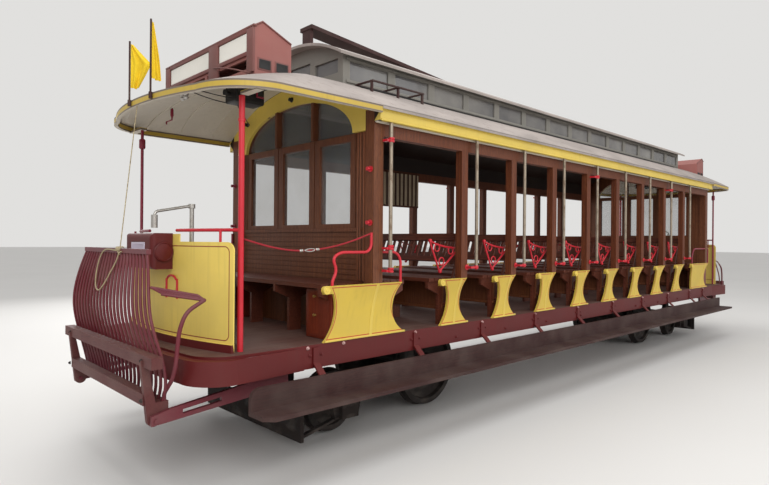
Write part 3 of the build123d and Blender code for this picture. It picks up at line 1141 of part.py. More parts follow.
with BuildPart() as cloths:
    for y, top, direction, outline in FLAGS:
        along, across = direction
        plane = Plane(origin=(staff_x(y), y, 0), x_dir=(along, across, 0), z_dir=(across, -along, 0))
        with BuildSketch(plane) as shape:
            with BuildLine():
                Polyline(*outline, close=True)
            make_face()
        extrude(amount=CLOTH_THICK / 2, both=True)
cloths.part.label = "flag_cloths"
export_step(cloths.part, "parts/flag_cloths.step")

# Roller curtain, half drawn, behind the left side plate between the second and third post
CURTAIN_X = (POST_X[1] + 20, POST_X[2] + 20)
CURTAIN_Y = BODY_HALF - POST_DEPTH
CURTAIN_BOTTOM = 2080
CURTAIN_ROLLER_Z = 2515
CURTAIN_ROLLER = 18
with BuildPart() as curtain:
    roller_y = CURTAIN_Y - CURTAIN_ROLLER - 0.3
    rod((CURTAIN_X[0], roller_y, CURTAIN_ROLLER_Z), (CURTAIN_X[1], roller_y, CURTAIN_ROLLER_Z),
        CURTAIN_ROLLER)
    block(*CURTAIN_X, roller_y - 5, roller_y + 5, CURTAIN_BOTTOM, CURTAIN_ROLLER_Z)
curtain.part.label = "curtain"
export_step(curtain.part, "parts/curtain.step")

# Safety rope between the front right stanchion and the handle's riser
SAFETY_ROPE_RADIUS = 7
SAFETY_ROPE = [(-STANCHION_X + 24, -STANCHION_Y - 3, 1630), (-4790, -885, 1607), (-4700, -903, 1582),
               (-4605, -922, 1563), (-4510, -942, 1552), (-4415, -962, 1551), (-4320, -982, 1562),
               (-4225, -1001, 1577), (-4130, -1021, 1600), (-4040, -1040, 1628), (-3965, -1054, 1655),
               (-HANDLE_RISER_X - HANDLE_RADIUS - 1.5, -HANDLE_Y, 1680)]
with BuildPart() as safety_rope:
    cord_tube(SAFETY_ROPE, SAFETY_ROPE_RADIUS)
safety_rope.part.label = "safety_rope"
export_step(safety_rope.part, "parts/safety_rope.step")

# Rope loop that hangs from the front fender's top bar
FENDER_ROPE_RADIUS = 5
FENDER_ROPE = [(-5425.4, -149, 1545), (-5440, -149, 1545), (-5443, -112, 1546), (-5442, -70, 1548),
               (-5442, -10, 1551), (-5441, 50, 1552), (-5441, 110, 1545), (-5442, 160, 1526),
               (-5447, 195, 1486), (-5456, 211, 1432), (-5467, 209, 1376), (-5477, 193, 1322),
               (-5485, 161, 1278), (-5489, 116, 1256), (-5489, 68, 1258), (-5484, 22, 1285),
               (-5475, -23, 1327), (-5465, -65, 1377), (-5455, -108, 1425), (-5447, -150, 1472),
               (-5444, -178, 1512), (-5441, -190, 1538), (-5425.4, -190, 1538)]
with BuildPart() as fender_rope:
    cord_tube(FENDER_ROPE, FENDER_ROPE_RADIUS)
fender_rope.part.label = "fender_rope"
export_step(fender_rope.part, "parts/fender_rope.step")
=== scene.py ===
"""Paint, timber, iron, cloth and small fittings of an open electric tram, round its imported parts."""

import logging
import math
from dataclasses import dataclass
from enum import Enum
from typing import Callable, Sequence, Union

import bmesh
import bpy
from mathutils import Matrix, Vector


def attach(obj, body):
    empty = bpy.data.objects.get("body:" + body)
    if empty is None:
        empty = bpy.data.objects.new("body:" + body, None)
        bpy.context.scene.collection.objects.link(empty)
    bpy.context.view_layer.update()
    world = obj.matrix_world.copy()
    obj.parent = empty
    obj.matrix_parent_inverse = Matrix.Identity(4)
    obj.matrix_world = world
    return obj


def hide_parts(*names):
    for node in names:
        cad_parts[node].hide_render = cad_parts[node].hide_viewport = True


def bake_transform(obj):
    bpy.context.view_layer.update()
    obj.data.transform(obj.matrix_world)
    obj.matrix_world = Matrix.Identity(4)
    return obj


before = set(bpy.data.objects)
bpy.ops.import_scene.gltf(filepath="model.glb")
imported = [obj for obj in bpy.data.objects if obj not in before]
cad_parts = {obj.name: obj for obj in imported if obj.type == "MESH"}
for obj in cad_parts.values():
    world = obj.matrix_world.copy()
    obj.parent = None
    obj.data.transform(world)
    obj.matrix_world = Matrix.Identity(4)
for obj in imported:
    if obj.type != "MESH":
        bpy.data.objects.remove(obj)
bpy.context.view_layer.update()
LOG = logging.getLogger("tram")

Point = tuple[float, float, float]
Profile = Sequence[tuple[float, float]]
Amount = Union["Field", float]

# Directions: the front of the car is at -x, and the side that is modelled first is at -y
FORWARD: Point = (-1, 0, 0)
REARWARD: Point = (1, 0, 0)
OUTWARD: Point = (0, -1, 0)
INWARD: Point = (0, 1, 0)
UPWARD: Point = (0, 0, 1)
DOWNWARD: Point = (0, 0, -1)

# Places that several pieces share, in metres, and the number of posts
FIRST_POST, BENCH_PITCH, REAR_FACE = -2.7545, 0.787, 0.0435
POSTS = 8


# Shader building


@dataclass(frozen=True)
class Tint:
    """A colour as it looks on a screen, each part from 0 to 255."""

    red: int
    green: int
    blue: int

    def linear(self, light: float = 1.0) -> tuple[float, float, float, float]:
        """The colour for a shader socket, made lighter or darker by light."""
        parts = [(value / 255) ** 2.2 * light for value in (self.red, self.green, self.blue)]
        return (*parts, 1.0)


class Field:
    """A number that varies over a surface: one shader socket with its arithmetic."""

    def __init__(self, tree: "Tree", socket: bpy.types.NodeSocket) -> None:
        """Wraps the socket of one of tree's nodes."""
        self.tree = tree
        self.socket = socket

    def _apply(self, operation: str, other: Amount = 0.0, flipped: bool = False) -> "Field":
        """Adds one Math node.

        Args:
            operation: the Math node's operation.
            other: the second value.
            flipped: whether the second value comes first.

        Returns:
            The node's result.
        """
        values = (other, self) if flipped else (self, other)
        node = self.tree.node("ShaderNodeMath", {0: values[0], 1: values[1]}, operation=operation)
        return Field(self.tree, node.outputs[0])

    def __add__(self, other: Amount) -> "Field":
        """self + other."""
        return self._apply("ADD", other)

    def __sub__(self, other: Amount) -> "Field":
        """self - other."""
        return self._apply("SUBTRACT", other)

    def __rsub__(self, other: Amount) -> "Field":
        """other - self."""
        return self._apply("SUBTRACT", other, flipped=True)

    def __mul__(self, other: Amount) -> "Field":
        """self * other."""
        return self._apply("MULTIPLY", other)

    def __truediv__(self, other: Amount) -> "Field":
        """self / other."""
        return self._apply("DIVIDE", other)

    def __pow__(self, other: Amount) -> "Field":
        """self ** other."""
        return self._apply("POWER", other)

    def __abs__(self) -> "Field":
        """The value without its sign."""
        return self._apply("ABSOLUTE")

    __radd__ = __add__
    __rmul__ = __mul__

    def at_least(self, other: Amount) -> "Field":
        """The larger of the two."""
        return self._apply("MAXIMUM", other)

    def at_most(self, other: Amount) -> "Field":
        """The smaller of the two."""
        return self._apply("MINIMUM", other)

    def whole(self) -> "Field":
        """The whole number below."""
        return self._apply("FLOOR")

    def part(self) -> "Field":
        """What is left above the whole number below."""
        return self._apply("FRACT")

    def rise(self, low: float, high: float) -> "Field":
        """0 below low, 1 above high and straight between them, also with low above high."""
        return ((self - low) / (high - low)).at_least(0.0).at_most(1.0)


class Tree:
    """One material's nodes."""

    def __init__(self, name: str) -> None:
        """Starts a material of that name with its Principled shader.

        Args:
            name: the material's name.
        """
        self.material = bpy.data.materials.new(name)
        self.material.use_nodes = True
        self.nodes = self.material.node_tree.nodes
        self.links = self.material.node_tree.links
        self.surface = self.nodes["Principled BSDF"]
        self.place = self.node("ShaderNodeTexCoord").outputs["Object"]
        split = self.node("ShaderNodeSeparateXYZ", {0: self.place})
        self.axes = [Field(self, split.outputs[i]) for i in range(3)]

    def node(self, kind: str, inputs: dict | None = None, **settings: str) -> bpy.types.Node:
        """Adds one node.

        Args:
            kind: the node's type.
            inputs: values or links by the socket's name or number.
            settings: the node's own settings, set before its sockets.

        Returns:
            The node.
        """
        made = self.nodes.new(kind)
        for name, value in settings.items():
            setattr(made, name, value)
        self.fill(made, inputs or {})
        return made

    def fill(self, node: bpy.types.Node, inputs: dict) -> None:
        """Gives a node's sockets their values or links, by the socket's name or number.

        Args:
            node: the node.
            inputs: the values or links.
        """
        for key, value in inputs.items():
            if isinstance(value, Field):
                value = value.socket
            if isinstance(value, bpy.types.NodeSocket):
                self.links.new(value, node.inputs[key])
            else:
                node.inputs[key].default_value = value

    def noise(self, size: Point, detail: float = 4.0, place: bpy.types.NodeSocket | None = None) -> Field:
        """A cloudy pattern between 0 and 1.

        Args:
            size: how large its patches are along x, y and z, in metres.
            detail: how many finer layers it has.
            place: the coordinates that it reads, the object's own if left out.

        Returns:
            The pattern.
        """
        scaled = self.node("ShaderNodeVectorMath", {0: place or self.place, 1: [1 / s for s in size]},
                           operation="MULTIPLY")
        inputs = {"Vector": scaled.outputs[0], "Scale": 1.0, "Detail": detail}
        return Field(self, self.node("ShaderNodeTexNoise", inputs).outputs[0])

    def chance(self, key: Field) -> Field:
        """A number from 0 to 1 that jumps with each whole value of key."""
        made = self.node("ShaderNodeTexWhiteNoise", {"W": key}, noise_dimensions="1D")
        return Field(self, made.outputs[0])

    def mix(self, amount: Amount, first: object, second: object) -> bpy.types.NodeSocket:
        """Goes from the first colour to the second by amount."""
        made = self.node("ShaderNodeMix", {0: amount, 6: first, 7: second}, data_type="RGBA")
        return made.outputs[2]

    def shade(self, colour: object, roughness: Amount, height: Field | None = None, relief: float = 0.001,
              **fixed: float) -> bpy.types.Material:
        """Joins the finished fields to the shader.

        Args:
            colour: the base colour.
            roughness: the roughness.
            height: a relief between 0 and 1.
            relief: how high that relief is, in metres.
            fixed: other sockets of the shader, by name with _ for a space.

        Returns:
            The material.
        """
        inputs = {"Base Color": colour, "Roughness": roughness}
        if height is not None:
            bump = self.node("ShaderNodeBump", {"Height": height, "Distance": relief, "Strength": 1.0})
            inputs["Normal"] = bump.outputs[0]
        inputs.update({name.replace("_", " "): value for name, value in fixed.items()})
        self.fill(self.surface, inputs)
        return self.material


# Finishes

GRIME_TINT = Tint(62, 48, 40)
PAINT_DUST = Tint(160, 148, 138)
TIMBER_DUST = Tint(150, 138, 128)
METAL_DUST = Tint(140, 128, 118)
STAIN_TINT = Tint(92, 78, 74)
FILM_TINT = Tint(165, 160, 150)
FUZZ_TINT = Tint(190, 178, 160)
DUST_LAYER = 0.6


@dataclass(frozen=True)
class Paint:
    """Brushed oil paint, a little uneven, streaked with grime and dusty on top."""

    name: str
    tint: Tint
    gloss: float = 0.42
    dust: float = 0.22
    grime: float = 0.35
    line: Tint | None = None

    def dress(self, lining: Callable[[Tree], Field] | None = None) -> bpy.types.Material:
        """Builds the material.

        Args:
            lining: gives the mask of the painted lines.

        Returns:
            The material.
        """
        tree = Tree(self.name)
        patches = tree.noise((0.5, 0.5, 0.35), 5.0)
        streaks = tree.noise((0.03, 0.03, 0.5), 3.0)
        specks = tree.noise((0.004, 0.004, 0.004), 2.0)
        colour = tree.mix(patches.rise(0.3, 0.7), self.tint.linear(0.9), self.tint.linear(1.07))
        if lining is not None and self.line is not None:
            colour = tree.mix(lining(tree), colour, self.line.linear())
        dirt = streaks.rise(0.52, 0.85) * patches.rise(0.35, 0.75) * self.grime
        colour = tree.mix(dirt, colour, GRIME_TINT.linear())
        dust = tree.noise((0.35, 0.35, 0.2), 6.0).rise(0.4, 0.8) * self.dust * DUST_LAYER
        colour = tree.mix(dust, colour, PAINT_DUST.linear())
        rough = self.gloss + 0.16 * patches + 0.1 * specks + 0.5 * dust
        height = streaks * 0.5 + specks * 0.5
        return tree.shade(colour, rough, height, 0.0005, Coat_Weight=0.08, Coat_Roughness=0.25,
                          Specular_IOR_Level=0.4)


class Grain(Enum):
    """Which way the grain runs."""

    ALONG = 0
    ACROSS = 1
    UP = 2


@dataclass(frozen=True)
class Timber:
    """Painted or varnished boards with grain, dark joints and tone from board to board."""

    name: str
    tint: Tint
    dark: Tint
    grain: Grain
    gloss: float = 0.42
    dust: float = 0.02
    board: float = 0.0
    board_axis: Grain = Grain.ALONG

    def dress(self) -> bpy.types.Material:
        """Builds the material.

        Returns:
            The material.
        """
        tree = Tree(self.name)
        size = [0.012, 0.012, 0.012]
        size[self.grain.value] = 0.5
        fine = [0.0022, 0.0022, 0.0022]
        fine[self.grain.value] = 0.06
        figure = tree.noise(tuple(size), 5.0)
        pores = tree.noise(tuple(fine), 3.0)
        patches = tree.noise((0.4, 0.4, 0.4), 3.0)
        colour = tree.mix(figure.rise(0.35, 0.68), self.dark.linear(), self.tint.linear())
        colour = tree.mix(pores.rise(0.62, 0.5) * 0.45, self.dark.linear(0.55), colour)
        colour = tree.mix(patches.rise(0.35, 0.7) * 0.35, colour, self.dark.linear(0.8))
        height = figure * 0.35 + pores * 0.65
        if self.board:
            count = tree.axes[self.board_axis.value] / self.board
            tone = tree.chance(count.whole())
            colour = tree.mix(tone * 0.4, colour, self.dark.linear(0.7))
            edge = abs(count.part() - 0.5).rise(0.47, 0.49)
            colour = tree.mix(edge * 0.85, colour, self.dark.linear(0.2))
            height = height - edge * 2.0
        dust = tree.noise((0.3, 0.3, 0.3), 6.0).rise(0.4, 0.8) * self.dust * DUST_LAYER
        colour = tree.mix(dust, colour, TIMBER_DUST.linear())
        rough = self.gloss + 0.2 * patches + 0.12 * pores + 0.5 * dust
        return tree.shade(colour, rough, height, 0.0006, Coat_Weight=0.04, Coat_Roughness=0.3,
                          Specular_IOR_Level=0.35)


@dataclass(frozen=True)
class Metal:
    """Iron or steel, bright, worn or rusty."""

    name: str
    tint: Tint
    rust: Tint
    share: float = 0.4
    gloss: float = 0.45
    metallic: float = 0.8
    relief: float = 0.0006

    def dress(self) -> bpy.types.Material:
        """Builds the material.

        Returns:
            The material.
        """
        tree = Tree(self.name)
        patches = tree.noise((0.08, 0.08, 0.08), 6.0)
        grit = tree.noise((0.006, 0.006, 0.006), 4.0)
        worn = (patches * 0.7 + grit * 0.3).rise(0.62 - 0.3 * self.share, 0.75 - 0.3 * self.share)
        colour = tree.mix(worn, self.tint.linear(), self.rust.linear())
        dust = tree.noise((0.2, 0.2, 0.1), 5.0).rise(0.5, 0.8) * 0.25
        colour = tree.mix(dust, colour, METAL_DUST.linear())
        metallic = self.metallic * (1.0 - worn) * (1.0 - dust)
        rough = self.gloss + 0.35 * worn + 0.1 * grit
        return tree.shade(colour, rough, grit * 0.7 + patches * 0.3, self.relief, Metallic=metallic)


@dataclass(frozen=True)
class Canvas:
    """Painted roof canvas: a fine weave under thick paint, with patchy stains and spots."""

    name: str
    tint: Tint

    def dress(self) -> bpy.types.Material:
        """Builds the material.

        Returns:
            The material.
        """
        tree = Tree(self.name)
        weave = (tree.noise((0.0016, 0.02, 0.02), 1.0) + tree.noise((0.02, 0.0016, 0.0016), 1.0)) * 0.5
        stains = tree.noise((0.5, 0.3, 0.3), 6.0)
        spots = tree.noise((0.05, 0.05, 0.05), 5.0)
        colour = tree.mix(stains.rise(0.35, 0.7), self.tint.linear(0.78), self.tint.linear(1.08))
        colour = tree.mix(spots.rise(0.56, 0.75) * 0.4, colour, STAIN_TINT.linear())
        rough = 0.72 + 0.15 * spots
        return tree.shade(colour, rough, weave * 0.6 + spots * 0.4, 0.0007)


@dataclass(frozen=True)
class Pane:
    """Old window glass with a patchy dusty film."""

    name: str
    tint: Tint
    clear: float = 0.3

    def dress(self) -> bpy.types.Material:
        """Builds the material.

        Returns:
            The material.
        """
        tree = Tree(self.name)
        film = tree.noise((0.5, 0.5, 0.4), 4.0)
        wave = tree.noise((0.15, 0.15, 0.4), 1.0)
        colour = tree.mix(film.rise(0.4, 0.8) * 0.5, self.tint.linear(), FILM_TINT.linear())
        alpha = self.clear + 0.08 * film.rise(0.45, 0.85)
        rough = 0.05 + 0.12 * film
        return tree.shade(colour, rough, wave, 0.0012, Alpha=alpha, IOR=1.5)


@dataclass(frozen=True)
class Cloth:
    """Woven cloth on the piece's own UV map in metres, plain or with stripes along its length."""

    name: str
    tint: Tint
    stripe: Tint
    pitch: float = 0.0

    def dress(self) -> bpy.types.Material:
        """Builds the material.

        Returns:
            The material.
        """
        tree = Tree(self.name)
        flat = tree.node("ShaderNodeTexCoord").outputs["UV"]
        split = tree.node("ShaderNodeSeparateXYZ", {0: flat})
        across, along = Field(tree, split.outputs[0]), Field(tree, split.outputs[1])
        thread = 0.0014
        weave = abs((across / thread).part() - 0.5) + abs((along / thread).part() - 0.5)
        soft = tree.noise((0.06, 0.12, 1.0), 4.0, flat)
        colour = tree.mix(soft.rise(0.3, 0.75), self.tint.linear(0.82), self.tint.linear(1.08))
        if self.pitch:
            band = (across / self.pitch).part()
            dark = abs(band - 0.5).rise(0.24, 0.22)
            thin = abs(band - 0.06).rise(0.025, 0.012)
            colour = tree.mix(dark.at_least(thin), colour, self.stripe.linear())
        colour = tree.mix(weave.rise(0.5, 1.0) * 0.25, colour, self.stripe.linear(0.8))
        return tree.shade(colour, 0.85 + 0.1 * soft, weave * 0.7 + soft * 0.3, 0.0004)


@dataclass(frozen=True)
class Fibre:
    """Laid or plaited rope on the piece's own UV map: fine yarns along its strands."""

    name: str
    tint: Tint
    dark: Tint

    def dress(self) -> bpy.types.Material:
        """Builds the material.

        Returns:
            The material.
        """
        tree = Tree(self.name)
        flat = tree.node("ShaderNodeTexCoord").outputs["UV"]
        yarns = tree.noise((0.02, 0.5, 1.0), 3.0, flat)
        fuzz = tree.noise((0.0015, 0.0015, 0.0015), 2.0)
        colour = tree.mix(yarns.rise(0.35, 0.65), self.dark.linear(), self.tint.linear())
        colour = tree.mix(fuzz.rise(0.6, 0.8) * 0.3, colour, FUZZ_TINT.linear())
        return tree.shade(colour, 0.85 + 0.1 * fuzz, yarns * 0.6 + fuzz * 0.4, 0.0005)


Finish = Union[Paint, Timber, Metal, Canvas, Pane, Cloth, Fibre]

# The tram's own finishes

YELLOW = Paint("yellow_paint", Tint(214, 186, 84), dust=0.12, grime=0.25)
DASH_YELLOW = Paint("dash_yellow", Tint(224, 196, 96), dust=0.1, grime=0.3, line=Tint(132, 36, 40))
# Its line colour is the canvas edge over the lip and painted shade under the lip.
HOOD_LIP = Paint("hood_lip", Tint(184, 156, 66), dust=0.06, grime=0.3, line=Tint(112, 100, 88))
END_YELLOW = Paint("end_yellow", Tint(208, 178, 72), dust=0.1, grime=0.3, line=Tint(176, 60, 50))
MAROON = Paint("maroon_paint", Tint(88, 15, 15), gloss=0.45, dust=0.02)
FENDER_RED = Paint("fender_red", Tint(98, 30, 42), gloss=0.34, dust=0.2)
RED = Paint("red_paint", Tint(190, 34, 48), gloss=0.28, dust=0.06, grime=0.15)
# Deep red: the cranks' colour, and on the far stanchions and far sleeves a painted shade of the red paint.
DEEP_RED = Paint("deep_red", Tint(126, 22, 48), gloss=0.3, dust=0.1)
BLACK = Paint("black_paint", Tint(16, 15, 16), gloss=0.42, dust=0.06)
CREAM = Paint("cream_paint", Tint(196, 188, 172), gloss=0.55, dust=0.1)
SIGN_PAINT = Paint("sign_paint", Tint(140, 84, 78), gloss=0.5, dust=0.2)
PLATE_PAINT = Paint("plate_paint", Tint(232, 229, 220), gloss=0.4, dust=0.05, grime=0.1)
SIGN_FRAME = Paint("sign_frame", Tint(112, 66, 62), gloss=0.5, dust=0.25)
FRAME_PAINT = Paint("frame_paint", Tint(118, 115, 108), gloss=0.5, dust=0.3)
POST_TIMBER = Timber("post_timber", Tint(158, 88, 48), Tint(94, 46, 24), Grain.UP)
PANEL_TIMBER = Timber("panel_timber", Tint(156, 94, 56), Tint(100, 55, 32), Grain.UP)
BEAD_TIMBER = Timber("bead_timber", Tint(168, 104, 66), Tint(116, 64, 40), Grain.UP, gloss=0.38, dust=0.15)
LOCKER_TIMBER = Timber("locker_timber", Tint(158, 66, 36), Tint(118, 44, 26), Grain.UP, gloss=0.32,
                       dust=0.05)
BENCH_TIMBER = Timber("bench_timber", Tint(138, 72, 48), Tint(88, 42, 28), Grain.ACROSS, dust=0.04)
CEILING_TIMBER = Timber("ceiling_timber", Tint(58, 38, 28), Tint(36, 24, 19), Grain.ALONG, gloss=0.5)
BOARD_TIMBER = Timber("board_timber", Tint(84, 50, 46), Tint(62, 38, 36), Grain.ALONG, gloss=0.6, dust=0.25)
FLOOR_TIMBER = Timber("floor_timber", Tint(140, 98, 84), Tint(96, 62, 54), Grain.ALONG, gloss=0.65, dust=0.3,
                      board=0.11, board_axis=Grain.ACROSS)
BEAM_TIMBER = Timber("beam_timber", Tint(118, 66, 60), Tint(98, 48, 48), Grain.ACROSS, gloss=0.45, dust=0.35)
ROOF_CANVAS = Canvas("roof_canvas", Tint(152, 142, 136))
DARK_CANVAS = Canvas("dark_canvas", Tint(118, 112, 108))
POLE_STEEL = Metal("pole_steel", Tint(150, 138, 122), Tint(112, 92, 74), share=0.4, gloss=0.42)
BRIGHT_STEEL = Metal("bright_steel", Tint(176, 172, 166), Tint(120, 104, 92), share=0.15, gloss=0.3)
# Sill studs: their pale pink is a painted highlight on the painted dome heads.
PALE_STUD_HIGHLIGHT = Metal("pale_stud_highlight", Tint(186, 150, 146), Tint(132, 84, 80), share=0.3, gloss=0.4, metallic=0.3)
BRASS = Metal("brass", Tint(176, 140, 78), Tint(106, 82, 50), share=0.2, gloss=0.3)
TRUCK_IRON = Metal("truck_iron", Tint(32, 28, 27), Tint(40, 32, 29), share=0.8, gloss=0.65, metallic=0.3,
                   relief=0.0012)
WHEEL_STEEL = Metal("wheel_steel", Tint(42, 38, 36), Tint(40, 32, 29), share=0.7, gloss=0.5, metallic=0.6,
                    relief=0.001)
CLEAR_GLASS = Pane("clear_glass", Tint(112, 116, 118), 0.3)
GREY_GLASS = Pane("grey_glass", Tint(96, 94, 94), 0.85)
LAMP_GLASS = Pane("lamp_glass", Tint(206, 196, 214), 0.9)
FLAG_CLOTH = Cloth("flag_cloth", Tint(236, 200, 40), Tint(190, 150, 20))
CURTAIN_CLOTH = Cloth("curtain_cloth", Tint(190, 172, 144), Tint(66, 46, 40), 0.078)
RED_ROPE = Fibre("red_rope", Tint(178, 40, 52), Tint(104, 20, 30))
NATURAL_ROPE = Fibre("natural_rope", Tint(190, 176, 142), Tint(122, 106, 78))


# Modelling moves


SMOOTH_ANGLE = math.radians(35)


def deselect() -> None:
    """Leaves nothing selected, so that an operator acts on the new piece alone."""
    if bpy.context.object is not None and bpy.context.object.mode != "OBJECT":
        bpy.ops.object.mode_set(mode="OBJECT")
    bpy.ops.object.select_all(action="DESELECT")


def curve_through(route: Sequence[Point], bent: bool, steps: int) -> bpy.types.Object:
    """A curve through the points of a route.

    Args:
        route: the points.
        bent: whether it bends smoothly instead of running straight from point to point.
        steps: how finely each bend is divided.

    Returns:
        The curve.
    """
    data = bpy.data.curves.new("curve", "CURVE")
    data.dimensions = "3D"
    data.resolution_u = steps
    line = data.splines.new("NURBS" if bent else "POLY")
    line.points.add(len(route) - 1)
    for point, place in zip(line.points, route):
        point.co = (*place, 1.0)
    if bent:
        line.order_u = 3
        line.use_endpoint_u = True
    made = bpy.data.objects.new("curve", data)
    bpy.context.scene.collection.objects.link(made)
    return made


class Shape:
    """A piece while it is modelled, with the edit-mode moves that shape it."""

    def __init__(self, made: bpy.types.Object) -> None:
        """Takes over a primitive that was just added, its place and size going into its mesh.

        Args:
            made: the primitive.
        """
        self.object = made
        self.activate()
        bpy.ops.object.transform_apply(location=True, rotation=True, scale=True)

    def activate(self) -> None:
        """Selects this piece alone."""
        deselect()
        self.object.select_set(True)
        bpy.context.view_layer.objects.active = self.object

    @classmethod
    def box(cls, low: Point, high: Point, soft: float = 0.0, segments: int = 2) -> "Shape":
        """A block between two corners.

        Args:
            low: one corner.
            high: the opposite corner.
            soft: how wide its edges are rounded.
            segments: the facets of that rounding.

        Returns:
            The block.
        """
        deselect()
        bpy.ops.mesh.primitive_cube_add(size=1.0, location=[(a + b) / 2 for a, b in zip(low, high)])
        bpy.context.object.scale = [abs(b - a) for a, b in zip(low, high)]
        shape = cls(bpy.context.object)
        if soft:
            shape.pick()
            bpy.ops.mesh.bevel(offset=soft, segments=segments, affect="EDGES")
            deselect()
        return shape.smooth()

    @classmethod
    def turned(cls, profile: Profile, foot: Point, toward: Point, sides: int = 16) -> "Shape":
        """A round body drawn up ring by ring.

        Args:
            profile: each ring's radius and its height over the foot.
            foot: where its axis starts.
            toward: the direction of its axis.
            sides: how many sides it has.

        Returns:
            The body.
        """
        deselect()
        bpy.ops.mesh.primitive_circle_add(vertices=sides, radius=profile[0][0], fill_type="NGON")
        made = bpy.context.object
        bpy.ops.object.mode_set(mode="EDIT")
        bpy.ops.mesh.select_all(action="SELECT")
        for (last, below), (radius, height) in zip(profile, profile[1:]):
            bpy.ops.mesh.extrude_region_move(TRANSFORM_OT_translate={"value": (0, 0, height - below)})
            bpy.ops.transform.resize(value=(radius / last, radius / last, 1))
        bpy.ops.mesh.select_all(action="SELECT")
        bpy.ops.mesh.normals_make_consistent(inside=False)
        bpy.ops.object.mode_set(mode="OBJECT")
        made.rotation_mode = "QUATERNION"
        made.rotation_quaternion = Vector(toward).to_track_quat("Z", "Y")
        made.location = foot
        return cls(made).smooth()

    @classmethod
    def bar(cls, route: Sequence[Point], radius: float, bent: bool = False) -> "Shape":
        """A round bar through the points of a route, bent smoothly or in straight runs.

        Args:
            route: the points.
            radius: the bar's radius.
            bent: whether it bends smoothly.

        Returns:
            The bar.
        """
        made = curve_through(route, bent, 6)
        made.data.bevel_depth = radius
        made.data.bevel_resolution = 2
        made.data.use_fill_caps = True
        deselect()
        made.select_set(True)
        bpy.context.view_layer.objects.active = made
        bpy.ops.object.convert(target="MESH")
        return cls(bpy.context.object).smooth()

    @classmethod
    def sheet(cls, across: int, along: int, place: Callable[[float, float], Point], thick: float) -> "Shape":
        """A grid laid out over a surface.

        Args:
            across: cells over the first way.
            along: cells over the second way.
            place: gives a vertex's place for its two shares, each from 0 to 1.
            thick: the wall's thickness.

        Returns:
            The sheet.
        """
        deselect()
        bpy.ops.mesh.primitive_grid_add(x_subdivisions=across, y_subdivisions=along, size=1.0)
        shape = cls(bpy.context.object)
        for vertex in shape.object.data.vertices:
            vertex.co = place(vertex.co.x + 0.5, vertex.co.y + 0.5)
        wall = shape.object.modifiers.new("wall", "SOLIDIFY")
        wall.thickness = thick
        wall.offset = 0.0
        bpy.ops.object.modifier_apply(modifier=wall.name)
        return shape.smooth()

    def pick(self, choose: Callable[[Vector, Vector], bool] | None = None) -> None:
        """Opens edit mode with the chosen faces selected, or all of them.

        Args:
            choose: tells from a face's middle and normal whether it is chosen.
        """
        self.activate()
        bpy.ops.object.mode_set(mode="EDIT")
        bpy.ops.mesh.select_mode(type="FACE")
        bpy.ops.mesh.select_all(action="DESELECT")
        work = bmesh.from_edit_mesh(self.object.data)
        for face in work.faces:
            face.select_set(choose is None or choose(face.calc_center_median(), face.normal))
        bmesh.update_edit_mesh(self.object.data)

    def inset(self, toward: Point, rim: float, depth: float) -> "Shape":
        """Insets the large faces that look one way and moves them by depth, inwards below zero.

        Args:
            toward: the direction.
            rim: how far the edges move in.
            depth: how far the faces move.

        Returns:
            The piece itself.
        """
        alike, near = 0.9, 1e-5
        faces = [face for face in self.object.data.polygons if face.normal.dot(Vector(toward)) > alike]
        smallest = max(face.area for face in faces) * alike
        flat = [face.center.copy() for face in faces if face.area > smallest]
        self.pick(lambda middle, normal: any((middle - spot).length < near for spot in flat))
        bpy.ops.mesh.inset(thickness=rim, depth=depth)
        deselect()
        return self

    def smooth(self) -> "Shape":
        """Shades it smooth except over sharp edges.

        Returns:
            The piece itself.
        """
        self.activate()
        bpy.ops.object.shade_smooth_by_angle(angle=SMOOTH_ANGLE)
        return self

    def copied(self, move: Point = (0, 0, 0), flip: Sequence[int] = (1, 1, 1)) -> "Shape":
        """A copy with its own mesh, mirrored through the frame's planes and then moved.

        Args:
            move: how far it is moved.
            flip: -1 for each axis that is mirrored, or else 1.

        Returns:
            The copy.
        """
        mesh = self.object.data.copy()
        mesh.transform(Matrix.Diagonal((*flip, 1)))
        mesh.transform(Matrix.Translation(move))
        if flip[0] * flip[1] * flip[2] < 0:
            mesh.flip_normals()
        made = bpy.data.objects.new("copy", mesh)
        bpy.context.scene.collection.objects.link(made)
        return Shape(made)


def joined(shapes: Sequence[Shape]) -> bpy.types.Object:
    """One object out of several shapes.

    Args:
        shapes: the shapes.

    Returns:
        The joined object.
    """
    deselect()
    for shape in shapes:
        shape.object.select_set(True)
    bpy.context.view_layer.objects.active = shapes[0].object
    if len(shapes) > 1:
        bpy.ops.object.join()
    return bpy.context.object


def both_ends(shapes: Sequence[Shape]) -> list[Shape]:
    """The shapes and their like at the other end of the car, turned half round."""
    return [*shapes, *(shape.copied(flip=(-1, -1, 1)) for shape in shapes)]


def both_sides(shapes: Sequence[Shape]) -> list[Shape]:
    """The shapes and their mirror images on the other side of the car."""
    return [*shapes, *(shape.copied(flip=(1, -1, 1)) for shape in shapes)]


def repeated(shapes: Sequence[Shape], places: Sequence[Point]) -> list[Shape]:
    """Copies of the shapes at every place, in the originals' stead.

    Args:
        shapes: the originals, which are taken away.
        places: how far each copy is moved.

    Returns:
        The copies.
    """
    copies = [shape.copied(place) for place in places for shape in shapes]
    for shape in shapes:
        bpy.data.objects.remove(shape.object)
    return copies


def surface(node: str, start: Point, toward: Point) -> Vector:
    """Where a ray from start first meets a CAD node.

    Args:
        node: the node's name.
        start: where the ray starts.
        toward: its direction.

    Returns:
        The place.
    """
    found, place, _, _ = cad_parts[node].ray_cast(Vector(start), Vector(toward))
    if not found:
        raise ValueError(f"nothing of {node} lies beyond {start}")
    return place


